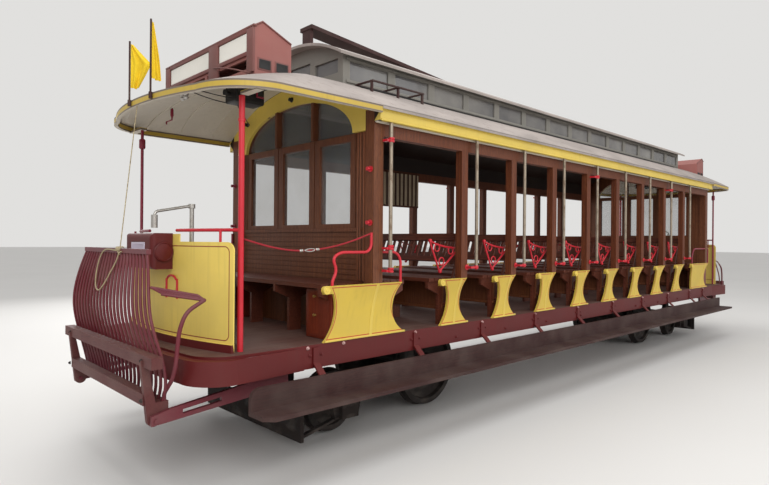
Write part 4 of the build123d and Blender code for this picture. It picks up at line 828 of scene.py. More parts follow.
def settle(piece: bpy.types.Object, name: str, material: bpy.types.Material,
           body: str | None = "root") -> bpy.types.Object:
    """Finishes a piece: its place goes into its mesh, and it rides on a body.

    Args:
        piece: the modelled object.
        name: its name.
        material: its finish.
        body: the body that it moves with, or None for a piece that rides on no body.

    Returns:
        The piece.
    """
    deselect()
    piece.select_set(True)
    bpy.context.view_layer.objects.active = piece
    bpy.ops.object.transform_apply(location=True, rotation=True, scale=True)
    piece.name = name
    piece.data.materials.clear()
    piece.data.materials.append(material)
    if body:
        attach(piece, body)
    LOG.info("%s: %d faces", name, len(piece.data.polygons))
    return piece


def paint_faces(node: str, finishes: Sequence[bpy.types.Material],
                choose: Callable[[Vector, Vector], int]) -> None:
    """Gives each face of a CAD node the finish that its place and direction call for.

    Args:
        node: the node's name.
        finishes: the finishes.
        choose: gives the finish's number from a face's middle and normal.
    """
    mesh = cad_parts[node].data
    mesh.materials.clear()
    for finish in finishes:
        mesh.materials.append(finish)
    for face in mesh.polygons:
        face.material_index = choose(face.center, face.normal)


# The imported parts


class Dresser:
    """Gives every CAD node its finish, each finish built once."""

    def __init__(self) -> None:
        """Starts with no finish built."""
        self._made: dict[str, bpy.types.Material] = {}

    def get(self, finish: Finish) -> bpy.types.Material:
        """The material of a finish.

        Args:
            finish: the finish.

        Returns:
            The material.
        """
        if finish.name not in self._made:
            self._made[finish.name] = finish.dress()
        return self._made[finish.name]

    def fit(self, name: str, finish: Finish, shapes: Sequence[Shape],
            body: str | None = "root") -> bpy.types.Object:
        """Joins the shapes of a piece and settles it in its finish on the body that it moves with."""
        return settle(joined(shapes), name, self.get(finish), body)

    def dress_nodes(self) -> None:
        """Dresses the nodes that have one finish each."""
        ends = ("front", "rear")
        plain = {
            MAROON: ["platform_crowns", "step_hangers", "underframe"],
            FENDER_RED: [f"{end}_fender_{part}" for end in ends for part in ("arms", "basket")],
            BLACK: ["controllers"],
            BRIGHT_STEEL: ["brake_columns"],
            POST_TIMBER: ["right_posts", "left_posts", "side_plates"],
            BENCH_TIMBER: ["benches"] + [f"seat_back_{i}" for i in range(1, 9)],
            BOARD_TIMBER: ["right_running_board", "left_running_board", "roof_beam", "roof_step",
                           "flag_staffs"],
            BEAM_TIMBER: ["front_fender_frame", "rear_fender_frame"],
            FRAME_PAINT: ["clerestory"],
            SIGN_PAINT: ["sign_boxes"],
            ROOF_CANVAS: ["upper_roof"],
            CLEAR_GLASS: ["bulkhead_glass"],
            GREY_GLASS: ["clerestory_glass"],
            POLE_STEEL: ["right_grab_poles", "left_grab_poles"],
            TRUCK_IRON: ["front_truck_frame", "rear_truck_frame", "front_motor", "rear_motor"],
            WHEEL_STEEL: [f"{end}_{kind}_wheelset" for end in ends for kind in ("driver", "pony")],
        }
        for finish, nodes in plain.items():
            for node in nodes:
                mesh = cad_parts[node].data
                mesh.materials.clear()
                mesh.materials.append(self.get(finish))

    def dress_roofs(self) -> None:
        """Canvas above, cream boards under the hoods, dark ones in the saloon, and a yellow lip."""
        outside, inside, lip = self.get(ROOF_CANVAS), self.get(CREAM), HOOD_LIP.dress(lip_lining)
        ceiling = self.get(CEILING_TIMBER)
        paint_faces("lower_roof", [outside, ceiling], lambda middle, normal: int(normal.z < 0))
        lip_top, wall_foot, steep = 2.66, 1.12, 0.35

        def hood_part(middle: Vector, normal: Vector) -> int:
            """Lip faces stand nearly upright and low, and the rest looks up or down.

            Args:
                middle: the face's middle.
                normal: its normal.

            Returns:
                The finish's number.
            """
            if abs(normal.z) < steep and middle.z < lip_top:
                return 2
            return int(normal.z < 0)

        for end in ("front", "rear"):
            paint_faces(f"{end}_hood", [outside, inside, lip], hood_part)
        paint_faces("letterboards", [self.get(YELLOW), ceiling],
                    lambda middle, normal: int(abs(middle.y) < wall_foot or normal.y * middle.y < 0))

    def dress_platforms(self) -> None:
        """Maroon floor edges and lamp boxes with pale glass, bright red stanchions near and deep red far,
        the far ones' deep red being painted shade.
        """
        edge, window_x, window_y, window_z = 0.975, 5.215, 0.132, (1.503, 1.607)
        paint_faces("floor", [self.get(FLOOR_TIMBER), self.get(MAROON)],
                    lambda middle, normal: int(abs(middle.y) > edge or abs(normal.z) < 0.5))
        paint_faces("lamp_boxes", [self.get(MAROON), self.get(LAMP_GLASS)],
                    lambda middle, normal: int(abs(middle.x) > window_x and abs(middle.y) < window_y
                                               and window_z[0] < middle.z < window_z[1]))
        # The far stanchions get deep red as painted shade; the real stanchions are all the same red.
        paint_faces("platform_stanchions", [self.get(RED), self.get(DEEP_RED)],
                    lambda middle, normal: int(middle.x * middle.y < 0))

    def dress_dashes(self) -> None:
        """Lined yellow dashes with a maroon foot."""
        foot_top = 0.93
        finishes = [DASH_YELLOW.dress(dash_lining), self.get(MAROON)]
        for end in ("front", "rear"):
            paint_faces(f"{end}_dash", finishes, lambda middle, normal: int(middle.z < foot_top))

    def dress_seat_ends(self) -> None:
        """Yellow seat ends, each lined along its edges."""
        finish = END_YELLOW.dress(seat_end_lining)
        for side in ("right", "left"):
            paint_faces(f"{side}_seat_ends", [finish], lambda middle, normal: 0)

    def dress_bulkheads(self) -> None:
        """Varnished bulkheads with a yellow board over the windows, grab poles with red brackets."""
        board_face, board_foot, bar_reach, bar_top = 3.846, 2.489, 0.42, 2.80

        def board(middle: Vector, normal: Vector) -> int:
            """Tells the yellow board from the bars between the arch's panes."""
            bar = abs(middle.y) < bar_reach and middle.z < bar_top
            return int(abs(middle.x) > board_face and middle.z > board_foot and not bar)

        finishes = [self.get(PANEL_TIMBER), self.get(YELLOW)]
        for end in ("front", "rear"):
            paint_faces(f"{end}_bulkhead", finishes, board)
        brackets = ((1.38, 1.41), (1.555, 1.583), (2.395, 2.423))
        finishes = [self.get(POLE_STEEL), self.get(RED)]
        for side in ("right", "left"):
            paint_faces(f"{side}_grab_poles", finishes,
                        lambda middle, normal: int(any(foot <= middle.z <= top for foot, top in brackets)))


def painted_line(away: Field) -> Field:
    """A thin painted line where away is zero."""
    half, soft = 0.0035, 0.0008
    return abs(away).rise(half + soft, half - soft)


def dash_lining(tree: Tree) -> Field:
    """A thin line round the dash, inset from its edges, with rounded corners.

    Args:
        tree: the nodes of the dashes' paint.

    Returns:
        The line's mask.
    """
    half_width, half_height, corner, middle_z = 0.862, 0.313, 0.04, 1.266
    across = (abs(tree.axes[1]) - (half_width - corner)).at_least(0.0)
    above = (abs(tree.axes[2] - middle_z) - (half_height - corner)).at_least(0.0)
    return painted_line((across * across + above * above) ** 0.5 - corner)


def lip_lining(tree: Tree) -> Field:
    """The canvas edge over the hood lip's yellow band, and a dark band of painted shade under it.

    Args:
        tree: the nodes of the lip's paint.

    Returns:
        The mask.
    """
    canvas_foot, band_foot, soft = 2.643, 2.611, 0.001
    above = tree.axes[2].rise(canvas_foot - soft, canvas_foot + soft)
    # Below the yellow band: a dark band of painted shade under the lip.
    below = tree.axes[2].rise(band_foot + soft, band_foot - soft)
    return above.at_least(below)


def seat_end_lining(tree: Tree) -> Field:
    """Thin lines along the curved edges of every seat end.

    Args:
        tree: the nodes of the seat ends' paint.

    Returns:
        The lines' mask.
    """
    base, waist, top, inset = 0.875, 1.0527, 1.298, 0.009
    under_lip, over_sill, half_bay = 0.006, 0.012, 0.4
    x, z = tree.axes[0], tree.axes[2]
    beside = ((x - FIRST_POST + half_bay) / BENCH_PITCH).part() * BENCH_PITCH - half_bay

    def edge(low: float, middle: float, high: float, ceiling: float) -> Field:
        """An edge's x over z: the parabola through its foot, waist and head.

        Args:
            low: its x at the foot.
            middle: its x at the waist.
            high: its x at the head.
            ceiling: the head's height.

        Returns:
            The edge's x.
        """
        slope = (middle - low) / (waist - base)
        bend = ((high - middle) / (ceiling - waist) - slope) / (ceiling - base)
        return low + (z - base) * slope + (z - base) * (z - waist) * bend

    def inside(place: Field, ends: Sequence[float]) -> Field:
        """How far a place lies inside one outline, from the nearest curved edge.

        Args:
            place: the x along the outline.
            ends: the outline's x at its head, foot and waist.

        Returns:
            The distance.
        """
        top_front, top_rear, low_front, low_rear, waist_front, waist_rear = ends
        front = place - edge(low_front, waist_front, top_front + 0.09, top - 0.06)
        rear = edge(low_rear, waist_rear, top_rear, top) - place
        return front.at_most(rear)

    narrow = [REAR_FACE + step for step in (-0.35, 0.0, -0.27, 0.13, -0.19, -0.02)]
    front_wide = (-4.330, -3.550, -4.280, -3.420, -4.190, -3.590)
    rear_wide = (3.130, 3.950, 3.370, 4.140, 3.330, 3.950)
    at_front, at_rear = x.rise(-3.38, -3.40), x.rise(3.05, 3.07)
    depth = (inside(beside, narrow) * (1.0 - at_front) * (1.0 - at_rear) + inside(x, front_wide) * at_front
             + inside(x, rear_wide) * at_rear)
    depth = depth.at_most(top - under_lip - z).at_most(z - base - over_sill)
    return painted_line(depth - inset)


# Ropes and cloth


@dataclass
class Rope:
    """A free rope along given points, laid from three strands."""

    name: str
    node: str
    body: str
    route: Sequence[Point]
    radius: float
    length: float
    far_end: str
    lay: float = 0.06
    with_pieces: tuple = ()
    sides: int = 18
    strands: int = 3
    hollow: float = 0.2
    map_scale: float = 4

    def path(self) -> list[Vector]:
        """The points of its centreline, bent smoothly through its route.

        Returns:
            The points.
        """
        curve = curve_through(self.route, True, 8)
        bpy.context.view_layer.update()
        line = bpy.data.meshes.new_from_object(curve)
        bpy.data.objects.remove(curve)
        return [vertex.co.copy() for vertex in line.vertices]

    def ring(self, here: Vector, ahead: Vector, walked: float) -> list[Vector]:
        """The rope's outline at one place, where the strands have turned so far.

        Args:
            here: the place on its centreline.
            ahead: the way that it runs there.
            walked: the length behind that place.

        Returns:
            The outline's points.
        """
        side = ahead.cross(Vector(UPWARD)).normalized()
        lift = side.cross(ahead)
        turned = walked / self.lay * math.tau
        spots = []
        for k in range(self.sides):
            angle = math.tau * k / self.sides
            bulge = 1 - self.hollow + self.hollow * abs(math.cos(self.strands / 2 * (angle + turned)))
            spots.append(here + (side * math.cos(angle) + lift * math.sin(angle)) * self.radius * bulge)
        return spots

    def build(self, material: bpy.types.Material) -> None:
        """Args:
            material: the rope's material.
        """
        path = self.path()
        shell = bmesh.new()
        flat = shell.loops.layers.uv.new("UVMap")
        rings, marks, walked = [], [], 0.0
        for i, here in enumerate(path):
            ahead = (path[min(i + 1, len(path) - 1)] - path[max(i - 1, 0)]).normalized()
            if i:
                walked += (here - path[i - 1]).length
            rings.append([shell.verts.new(spot) for spot in self.ring(here, ahead, walked)])
            marks.append(walked)
        for i in range(len(rings) - 1):
            for k in range(self.sides):
                beside = (k + 1) % self.sides
                here, ahead = rings[i], rings[i + 1]
                face = shell.faces.new((here[k], here[beside], ahead[beside], ahead[k]))
                face.smooth = True
                spots = ((k, i), (k + 1, i), (k + 1, i + 1), (k, i + 1))
                for loop, (column, row) in zip(face.loops, spots):
                    mark = marks[row]
                    loop[flat].uv = (column / self.sides + mark / self.lay, mark * self.map_scale)
        shell.faces.new(rings[0])
        shell.faces.new(rings[-1])
        bmesh.ops.recalc_face_normals(shell, faces=shell.faces)
        mesh = bpy.data.meshes.new(self.name)
        shell.to_mesh(mesh)
        shell.free()
        rope = bpy.data.objects.new(self.name, mesh)
        bpy.context.scene.collection.objects.link(rope)
        settle(rope, self.name, material, self.body)
        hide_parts(self.node)
        tuple(path[0])
        2 * self.radius
        [tuple(p) for p in path]
        list(self.with_pieces)


@dataclass
class SnapHook:
    """The metal snap hook that joins the two halves of the safety rope."""

    first: Point = (-4.470, -0.950, 1.5515)
    second: Point = (-4.320, -0.982, 1.562)
    ferrule: Profile = ((0.0085, 0), (0.0105, 0.003), (0.0105, 0.024), (0.0085, 0.027))
    loop: Profile = ((0.03, 0), (0.06, 0.011), (0.10, 0.008), (0.115, 0), (0.10, -0.009), (0.06, -0.011),
                     (0.03, 0))
    beside: float = 0.0125
    wire: float = 0.0035

    def build(self, dresser: Dresser) -> bpy.types.Object:
        """Makes two ferrules and a hook over the rope's middle.

        Args:
            dresser: gives the finishes.

        Returns:
            The hook.
        """
        start, end = Vector(self.first), Vector(self.second)
        way = (end - start).normalized()
        loop = [tuple(start + way * ahead + Vector((0, -self.beside, lift))) for ahead, lift in self.loop]
        parts = [Shape.turned(self.ferrule, start, way, 12), Shape.turned(self.ferrule, end, -way, 12),
                 Shape.bar(loop, self.wire, bent=True)]
        return dresser.fit("snap_hook", BRIGHT_STEEL, parts)


@dataclass
class FenderLine:
    """The thin line from the hood to the top of the folded front fender, with its knot."""

    head: Point = (-5.262, -0.020, 2.640)
    foot: Point = (-5.418, -0.140, 1.572)
    radius: float = 0.0035
    steps: int = 24
    turn: Profile = ((0.006, 0), (0.014, 0.006), (0.016, 0.016), (0.011, 0.026), (0.006, 0.032))
    turns: tuple = ((0.0, -0.3), (0.012, 0.4), (-0.012, 0.1))
    knot_offset: tuple = (-0.012, -0.03)
    tail: tuple = ((-5.395, -0.140, 1.566), (-5.410, -0.150, 1.574), (-5.434, -0.146, 1.556),
                   (-5.436, -0.146, 1.524), (-5.410, -0.140, 1.516))
    tail_radius: float = 0.005

    def build(self, dresser: Dresser) -> None:
        """Draws the line between car and fender and ties its knot.

        Args:
            dresser: gives the finishes.
        """
        start, end = Vector(self.head), Vector(self.foot)
        spots = [tuple(start.lerp(end, k / self.steps)) for k in range(self.steps + 1)]
        line = dresser.fit("fender_line", NATURAL_ROPE, [Shape.bar(spots, self.radius)], None)
        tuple(self.head)
        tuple(self.foot)
        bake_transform(line)
        back, down = self.knot_offset
        knot = [Shape.turned(self.turn, (self.foot[0] + back, self.foot[1] + step, self.foot[2] + down),
                             (way, 0.3, 1), 12) for step, way in self.turns]
        knot.append(Shape.bar(self.tail, self.tail_radius, bent=True))
        dresser.fit("fender_knot", NATURAL_ROPE, knot, "front_fender")


SAFETY_ROUTE = [
    (-4.866, -0.871, 1.630), (-4.790, -0.885, 1.607), (-4.700, -0.903, 1.582), (-4.605, -0.922, 1.563),
    (-4.510, -0.942, 1.552), (-4.415, -0.962, 1.551), (-4.320, -0.982, 1.562), (-4.225, -1.001, 1.577),
    (-4.130, -1.021, 1.600), (-4.040, -1.040, 1.628), (-3.965, -1.054, 1.655), (-3.8988, -1.069, 1.680)]
FENDER_ROUTE = [
    (-5.4254, -0.149, 1.545), (-5.440, -0.149, 1.545), (-5.443, -0.112, 1.546), (-5.442, -0.070, 1.548),
    (-5.442, -0.010, 1.551), (-5.441, 0.050, 1.552), (-5.441, 0.110, 1.545), (-5.442, 0.160, 1.526),
    (-5.447, 0.195, 1.486), (-5.456, 0.211, 1.432), (-5.467, 0.209, 1.376), (-5.477, 0.193, 1.322),
    (-5.485, 0.161, 1.278), (-5.489, 0.116, 1.256), (-5.489, 0.068, 1.258), (-5.484, 0.022, 1.285),
    (-5.475, -0.023, 1.327), (-5.465, -0.065, 1.377), (-5.455, -0.108, 1.425), (-5.447, -0.150, 1.472),
    (-5.444, -0.178, 1.512), (-5.441, -0.190, 1.538), (-5.4254, -0.190, 1.538)]


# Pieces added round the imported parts

POST_PLACES = [FIRST_POST + BENCH_PITCH * i for i in range(POSTS)]
BENCH_BACK_SET = 0.150
SEAT_PLACES = [x + REAR_FACE - BENCH_BACK_SET for x in POST_PLACES]


@dataclass
class SignFace:
    """Blank plates, their frame, the side openings and the brace of the sign boxes, the openings being black
    blocks of painted shade.
    """

    face_x: float = -4.720
    side_y: float = -0.742
    plates: tuple = ((-0.646, -0.229), (-0.067, 0.650))
    plate_z: tuple = (2.985, 3.116)
    posts: tuple = ((-0.742, -0.655), (-0.222, -0.074), (0.658, 0.742))
    post_z: tuple = (2.82, 3.138)
    rail_y: tuple = (-0.655, 0.658)
    rails: tuple = ((3.118, 3.148), (2.952, 2.982))
    cap: tuple = ((-0.752, 0.752), (3.142, 3.158))
    plate_proud: float = 0.006
    post_proud: float = 0.018
    rail_proud: float = 0.014
    cap_proud: float = 0.016
    cap_sunk: float = 0.012
    opening_x: tuple = ((-4.686, -4.590), (-4.542, -4.442))
    opening_z: tuple = (2.852, 2.920)
    rim: float = 0.01
    rim_y: tuple = (-0.0025, 0.004)
    hole_y: tuple = (-0.0045, 0.0035)
    gable_bar: float = 0.007
    brace_bar: float = 0.005
    gable: tuple = ((-4.412, 3.084), (-4.658, 3.19), (-4.718, 3.152))
    brace: tuple = ((-4.735, -0.15, 2.965), (-4.80, -0.45, 2.90), (-4.70, -0.82, 2.775),
                    (-4.56, -1.06, 2.705))

    def board(self, proud: float, y: tuple, z: tuple, soft: float, sunk: float = 0.002) -> Shape:
        """A board on the box's face, standing proud of it and sunk into it by so much."""
        return Shape.box((self.face_x - proud, y[0], z[0]), (self.face_x + sunk, y[1], z[1]), soft)

    def build(self, dresser: Dresser) -> None:
        """Sets plates, frame, openings and brace on both boxes.

        Args:
            dresser: gives the finishes.
        """
        plates = [self.board(self.plate_proud, y, self.plate_z, 0.003).inset(FORWARD, 0.006, -0.001)
                  for y in self.plates]
        dresser.fit("sign_plates", PLATE_PAINT, both_ends(plates))
        boards = [self.board(self.post_proud, y, self.post_z, 0.004) for y in self.posts]
        boards += [self.board(self.rail_proud, self.rail_y, z, 0.004) for z in self.rails]
        boards.append(self.board(self.cap_proud, *self.cap, 0.005, sunk=self.cap_sunk))
        dresser.fit("sign_frames", SIGN_FRAME, both_ends(boards))
        rims, holes = [], []
        foot, head = self.opening_z
        rim_out, rim_in = (self.side_y + step for step in self.rim_y)
        hole_out, hole_in = (self.side_y + step for step in self.hole_y)
        for low, high in self.opening_x:
            rims.append(Shape.box((low - self.rim, rim_out, foot - self.rim),
                                  (high + self.rim, rim_in, head + self.rim), 0.003))
            # A black block in each opening: painted shade for the dark inside of the box.
            hole = Shape.box((low, hole_out, foot), (high, hole_in, head), 0.0035)
            holes.append(hole.inset(OUTWARD, 0.004, -0.002))
        rims.append(Shape.bar([(x, self.side_y, z) for x, z in self.gable], self.gable_bar))
        dresser.fit("sign_rims", SIGN_FRAME, both_ends(both_sides(rims)))
        dresser.fit("sign_opening_shade", BLACK, both_ends(both_sides(holes)))
        dresser.fit("sign_brace", SIGN_FRAME, both_ends([Shape.bar(self.brace, self.brace_bar, bent=True)]))


def hood_ceiling(x: float, y: float) -> float:
    """How high the front hood's boards are over a place."""
    return surface("front_hood", (x, y, 2.0), UPWARD).z


@dataclass
class HoodRibs:
    """Battens under the hoods' boards."""

    places: tuple = (-4.10, -4.43, -4.76)
    half: float = 1.08
    width: float = 0.028
    thick: float = 0.008
    gap: float = 0.003
    cells: tuple = (1, 24)

    def rib(self, x: float) -> Shape:
        """One batten, following the boards' curve.

        Args:
            x: where it crosses.

        Returns:
            The batten.
        """
        def place(share_x: float, share_y: float) -> Point:
            """A vertex of the batten, just under the boards.

            Args:
                share_x: how far along the car, from 0 to 1.
                share_y: how far across, from 0 to 1.

            Returns:
                The vertex's place.
            """
            y = (share_y * 2 - 1) * self.half
            where = x + (share_x - 0.5) * self.width
            return where, y, hood_ceiling(where, y) - self.gap
        return Shape.sheet(*self.cells, place, self.thick)

    def build(self, dresser: Dresser) -> None:
        """Fits the battens under both hoods."""
        dresser.fit("hood_ribs", CREAM, both_ends([self.rib(x) for x in self.places]))


@dataclass
class BreakerBox:
    """The breaker box under each hood, and the bushings in the board over the windows."""

    x: tuple = (-4.660, -4.405)
    y: tuple = (-0.37, -0.20)
    foot: float = 2.69
    drop: float = 0.04
    middle: tuple = (-4.5, -0.3)
    panel: tuple = (0.02, -0.006)
    lid_rim: tuple = (0.03, 0.02)
    lid_lap: float = 0.005
    lid_gap: float = 0.002
    gland: Profile = ((0.012, 0), (0.012, 0.03), (0.022, 0.034), (0.022, 0.05), (0.01, 0.056))
    gland_at: Point = (-4.660, -0.28, 2.76)
    bushing: Profile = ((0.024, 0), (0.02, 0.012), (0.015, 0.016), (0.017, 0.03), (0.008, 0.036))
    bushings: tuple = ((0.794, 2.78), (0.026, 2.90), (-0.292, 2.90))
    board_x: float = -3.8745

    def build(self, dresser: Dresser) -> None:
        """Hangs box, lid board and gland, and sets the bushings.

        Args:
            dresser: gives the finishes.
        """
        top = hood_ceiling(*self.middle)
        front, back = self.x
        right, left = self.y
        along, across = self.lid_rim
        head = top - self.drop
        box = Shape.box((front, right, self.foot), (back, left, head), 0.014, 3)
        lid = Shape.box((front - along, right - across, head - self.lid_lap),
                        (back + along, left + across, top - self.lid_gap), 0.006)
        parts = [box.inset(OUTWARD, *self.panel), lid, Shape.turned(self.gland, self.gland_at, FORWARD)]
        parts += [Shape.turned(self.bushing, (self.board_x, y, z), FORWARD) for y, z in self.bushings]
        dresser.fit("breaker_boxes", BLACK, both_ends(parts))


@dataclass
class Cranks:
    """Red cranks and hooks under the hoods."""

    bar: float = 0.009
    crank: tuple = ((-4.485, -0.382, 2.83), (-4.485, -0.386, 2.745), (-4.425, -0.386, 2.745))
    handle: Profile = ((0.007, 0), (0.014, 0.02), (0.013, 0.07), (0.007, 0.085))
    handle_at: Point = (-4.72, 0.64, 2.70)
    hook_bar: float = 0.007
    hook: tuple = ((-4.72, 0.64, 2.79), (-4.72, 0.64, 2.68), (-4.735, 0.72, 2.672), (-4.735, 0.72, 2.65))

    def build(self, dresser: Dresser) -> None:
        """Hangs the cranks and hooks.

        Args:
            dresser: gives the finishes.
        """
        cranks = [Shape.bar(self.crank, self.bar), Shape.turned(self.handle, self.handle_at, UPWARD),
                  Shape.bar(self.hook, self.hook_bar)]
        dresser.fit("red_cranks", DEEP_RED, both_ends(cranks))


@dataclass
class Wiring:
    """Wires under the hoods, with their insulators."""

    bar: float = 0.004
    wires: tuple = (((-4.93, -0.10, 2.80), (-4.80, -0.20, 2.745), (-4.658, -0.30, 2.72)),
                    ((-4.93, -0.04, 2.80), (-4.78, -0.14, 2.715), (-4.64, -0.24, 2.692)),
                    ((-4.62, -0.30, 2.695), (-4.30, 0.1, 2.66), (-3.92, 0.66, 2.74), (-3.88, 0.794, 2.78)))
    insulator: Profile = ((0.016, 0), (0.022, 0.01), (0.014, 0.02), (0.022, 0.03), (0.012, 0.045))
    places: tuple = ((-4.93, -0.10), (-4.93, -0.04))
    tall: float = 0.04
    gap: float = 0.001
    stem: float = 0.005
    wire_z: float = 2.80

    def build(self, dresser: Dresser) -> None:
        """Draws the wires and hangs the insulators.

        Args:
            dresser: gives the finishes.
        """
        wires = [Shape.bar(wire, self.bar, bent=True) for wire in self.wires]
        dresser.fit("hood_wires", BLACK, both_ends(wires))
        knobs = []
        for x, y in self.places:
            top = hood_ceiling(x, y)
            knobs.append(Shape.turned(self.insulator, (x, y, top - self.gap), DOWNWARD))
            knobs.append(Shape.bar([(x, y, top - self.tall), (x, y, self.wire_z)], self.stem))
        dresser.fit("insulators", BRIGHT_STEEL, both_ends(knobs))


@dataclass
class CornerBeads:
    """Upright strips on the bulkheads' corners."""

    x: tuple = (-3.881, -3.872)
    y: tuple = (-0.965, -0.925, -0.895)
    half: float = 0.006
    z: tuple = (1.31, 2.48)

    def build(self, dresser: Dresser) -> None:
        """Sets the strips at all four corners.

        Args:
            dresser: gives the finishes.
        """
        (front, back), (foot, head), half = self.x, self.z, self.half
        beads = [Shape.box((front, y - half, foot), (back, y + half, head), 0.004) for y in self.y]
        dresser.fit("corner_beads", BEAD_TIMBER, both_ends(both_sides(beads)))


@dataclass
class StanchionSleeves:
    """Rings on the near stanchions and sleeves on the far ones."""

    stanchion: tuple = (-4.890, 0.868)
    ring: Profile = ((0.0205, 0), (0.0245, 0.004), (0.0245, 0.02), (0.0205, 0.024))
    ring_z: float = 2.42
    sleeve: Profile = ((0.0215, 0), (0.027, 0.012), (0.027, 0.075), (0.0235, 0.085))
    sleeve_z: float = 2.43

    def build(self, dresser: Dresser) -> None:
        """Puts one on each stanchion.

        Args:
            dresser: gives the finishes.
        """
        x, y = self.stanchion
        near = Shape.turned(self.ring, (x, -y, self.ring_z), UPWARD)
        dresser.fit("near_sleeves", RED, both_ends([near]))
        # The far sleeves are deep red as painted shade, matching the far stanchions; they are the same red
        # as the near rings.
        far = Shape.turned(self.sleeve, (x, y, self.sleeve_z), UPWARD)
        dresser.fit("far_sleeves", DEEP_RED, both_ends([far]))


@dataclass
class SeatEndTrim:
    """Scroll discs, folds and foot mouldings on the yellow seat ends."""

    foot: float = 0.882
    head: float = 1.288
    fold_width: float = 0.030
    fold_crown: float = 0.004
    fold_thick: float = 0.004
    fold_step: float = -0.075
    scroll_step: float = -0.346
    foot_steps: tuple = (-0.262, 0.122)
    wide_folds: tuple = (-3.815, 3.815)
    strip_y: tuple = (-0.013, 0.004)
    strip_z: tuple = (0.8755, 0.892)
    strip_probe: float = 0.004
    wide_feet: tuple = ((-4.272, -3.436), (3.380, 4.130))
    wide_scrolls: tuple = (-4.326, 3.134)
    scroll_z: float = 1.270
    disc: Profile = ((0.031, -0.004), (0.031, 0.006), (0.027, 0.009), (0.024, 0.005), (0.013, 0.005),
                     (0.011, 0.009), (0.004, 0.010))

    def face_y(self, x: float, z: float) -> float:
        """Where the seat ends' outer face is at a place."""
        return surface("right_seat_ends", (x, -2.0, z), INWARD).y

    def fold(self, x: float) -> Shape:
        """A proud batten down one seat end, swept in with it.

        Args:
            x: its middle.

        Returns:
            The batten.
        """
        def place(share_x: float, share_z: float) -> Point:
            """A vertex of the batten on the seat end's face.

            Args:
                share_x: how far across, from 0 to 1.
                share_z: how far up, from 0 to 1.

            Returns:
                The vertex's place.
            """
            where = x + (share_x - 0.5) * self.fold_width
            z = self.foot + (self.head - self.foot) * share_z
            crown = self.fold_crown * math.sin(math.pi * share_x)
            return where, self.face_y(where, z) - crown, z
        return Shape.sheet(4, 14, place, self.fold_thick)

    def moulding(self, low: float, high: float) -> Shape:
        """A rounded strip along one seat end's foot.

        Args:
            low: its front end's x.
            high: its rear end's x.

        Returns:
            The strip.
        """
        y = self.face_y((low + high) / 2, self.foot + self.strip_probe)
        outer, inner = (y + step for step in self.strip_y)
        return Shape.box((low, outer, self.strip_z[0]), (high, inner, self.strip_z[1]), 0.005)

    def scroll(self, x: float) -> Shape:
        """A turned disc with a raised rim and eye at a seat end's roll."""
        return Shape.turned(self.disc, (x, self.face_y(x, self.scroll_z), self.scroll_z), OUTWARD, 24)

    def build(self, dresser: Dresser) -> None:
        """Trims every seat end on both sides.

        Args:
            dresser: gives the finishes.
        """
        rears = [x + REAR_FACE for x in POST_PLACES]
        folds = [rear + self.fold_step for rear in rears]
        scrolls = [rear + self.scroll_step for rear in rears]
        feet = [(rear + self.foot_steps[0], rear + self.foot_steps[1]) for rear in rears]
        trim = [self.fold(x) for x in (*folds, *self.wide_folds)]
        trim += [self.scroll(x) for x in (*scrolls, *self.wide_scrolls)]
        trim += [self.moulding(*ends) for ends in (*feet, *self.wide_feet)]
        dresser.fit("seat_end_trim", YELLOW, both_sides(trim))


@dataclass
class UnderBenchBoards:
    """Boards with a moulded foot under the benches."""

    half: float = 0.925
    foot: float = 1.018
    head: float = 1.262
    thick: float = 0.022
    foot_thick: float = 0.036
    foot_z: tuple = (-0.012, 0.014)
    panel: tuple = (0.03, -0.003)

    def build(self, dresser: Dresser) -> None:
        """Hangs one under every bench.

        Args:
            dresser: gives the finishes.
        """
        thin, thick = self.thick / 2, self.foot_thick / 2
        board = Shape.box((-thin, -self.half, self.foot), (thin, self.half, self.head), 0.003)
        board.inset(FORWARD, *self.panel).inset(REARWARD, *self.panel)
        low, high = (self.foot + step for step in self.foot_z)
        foot = Shape.box((-thick, -self.half, low), (thick, self.half, high), 0.006)
        boards = repeated([board, foot], [(x, 0, 0) for x in SEAT_PLACES])
        dresser.fit("under_bench_boards", PANEL_TIMBER, boards)


@dataclass
class Lockers:
    """The lockers under the platform benches, with their knobs."""

    low: Point = (-4.190, -0.968, 0.876)
    high: Point = (-3.852, -0.648, 1.250)
    panel: tuple = (0.035, -0.008)
    knob: Profile = ((0.008, 0), (0.006, 0.010), (0.012, 0.014), (0.011, 0.022), (0.004, 0.026))
    knob_at: tuple = (-4.184, -0.765)
    knob_z: tuple = (1.197, 1.052)

    def build(self, dresser: Dresser) -> None:
        """Sets the lockers in at all four corners.

        Args:
            dresser: gives the finishes.
        """
        locker = Shape.box(self.low, self.high, 0.006)
        locker.inset(FORWARD, *self.panel).inset(INWARD, *self.panel)
        dresser.fit("lockers", LOCKER_TIMBER, both_ends(both_sides([locker])))
        knobs = [Shape.turned(self.knob, (*self.knob_at, z), FORWARD) for z in self.knob_z]
        dresser.fit("locker_knobs", BRASS, both_ends(both_sides(knobs)))


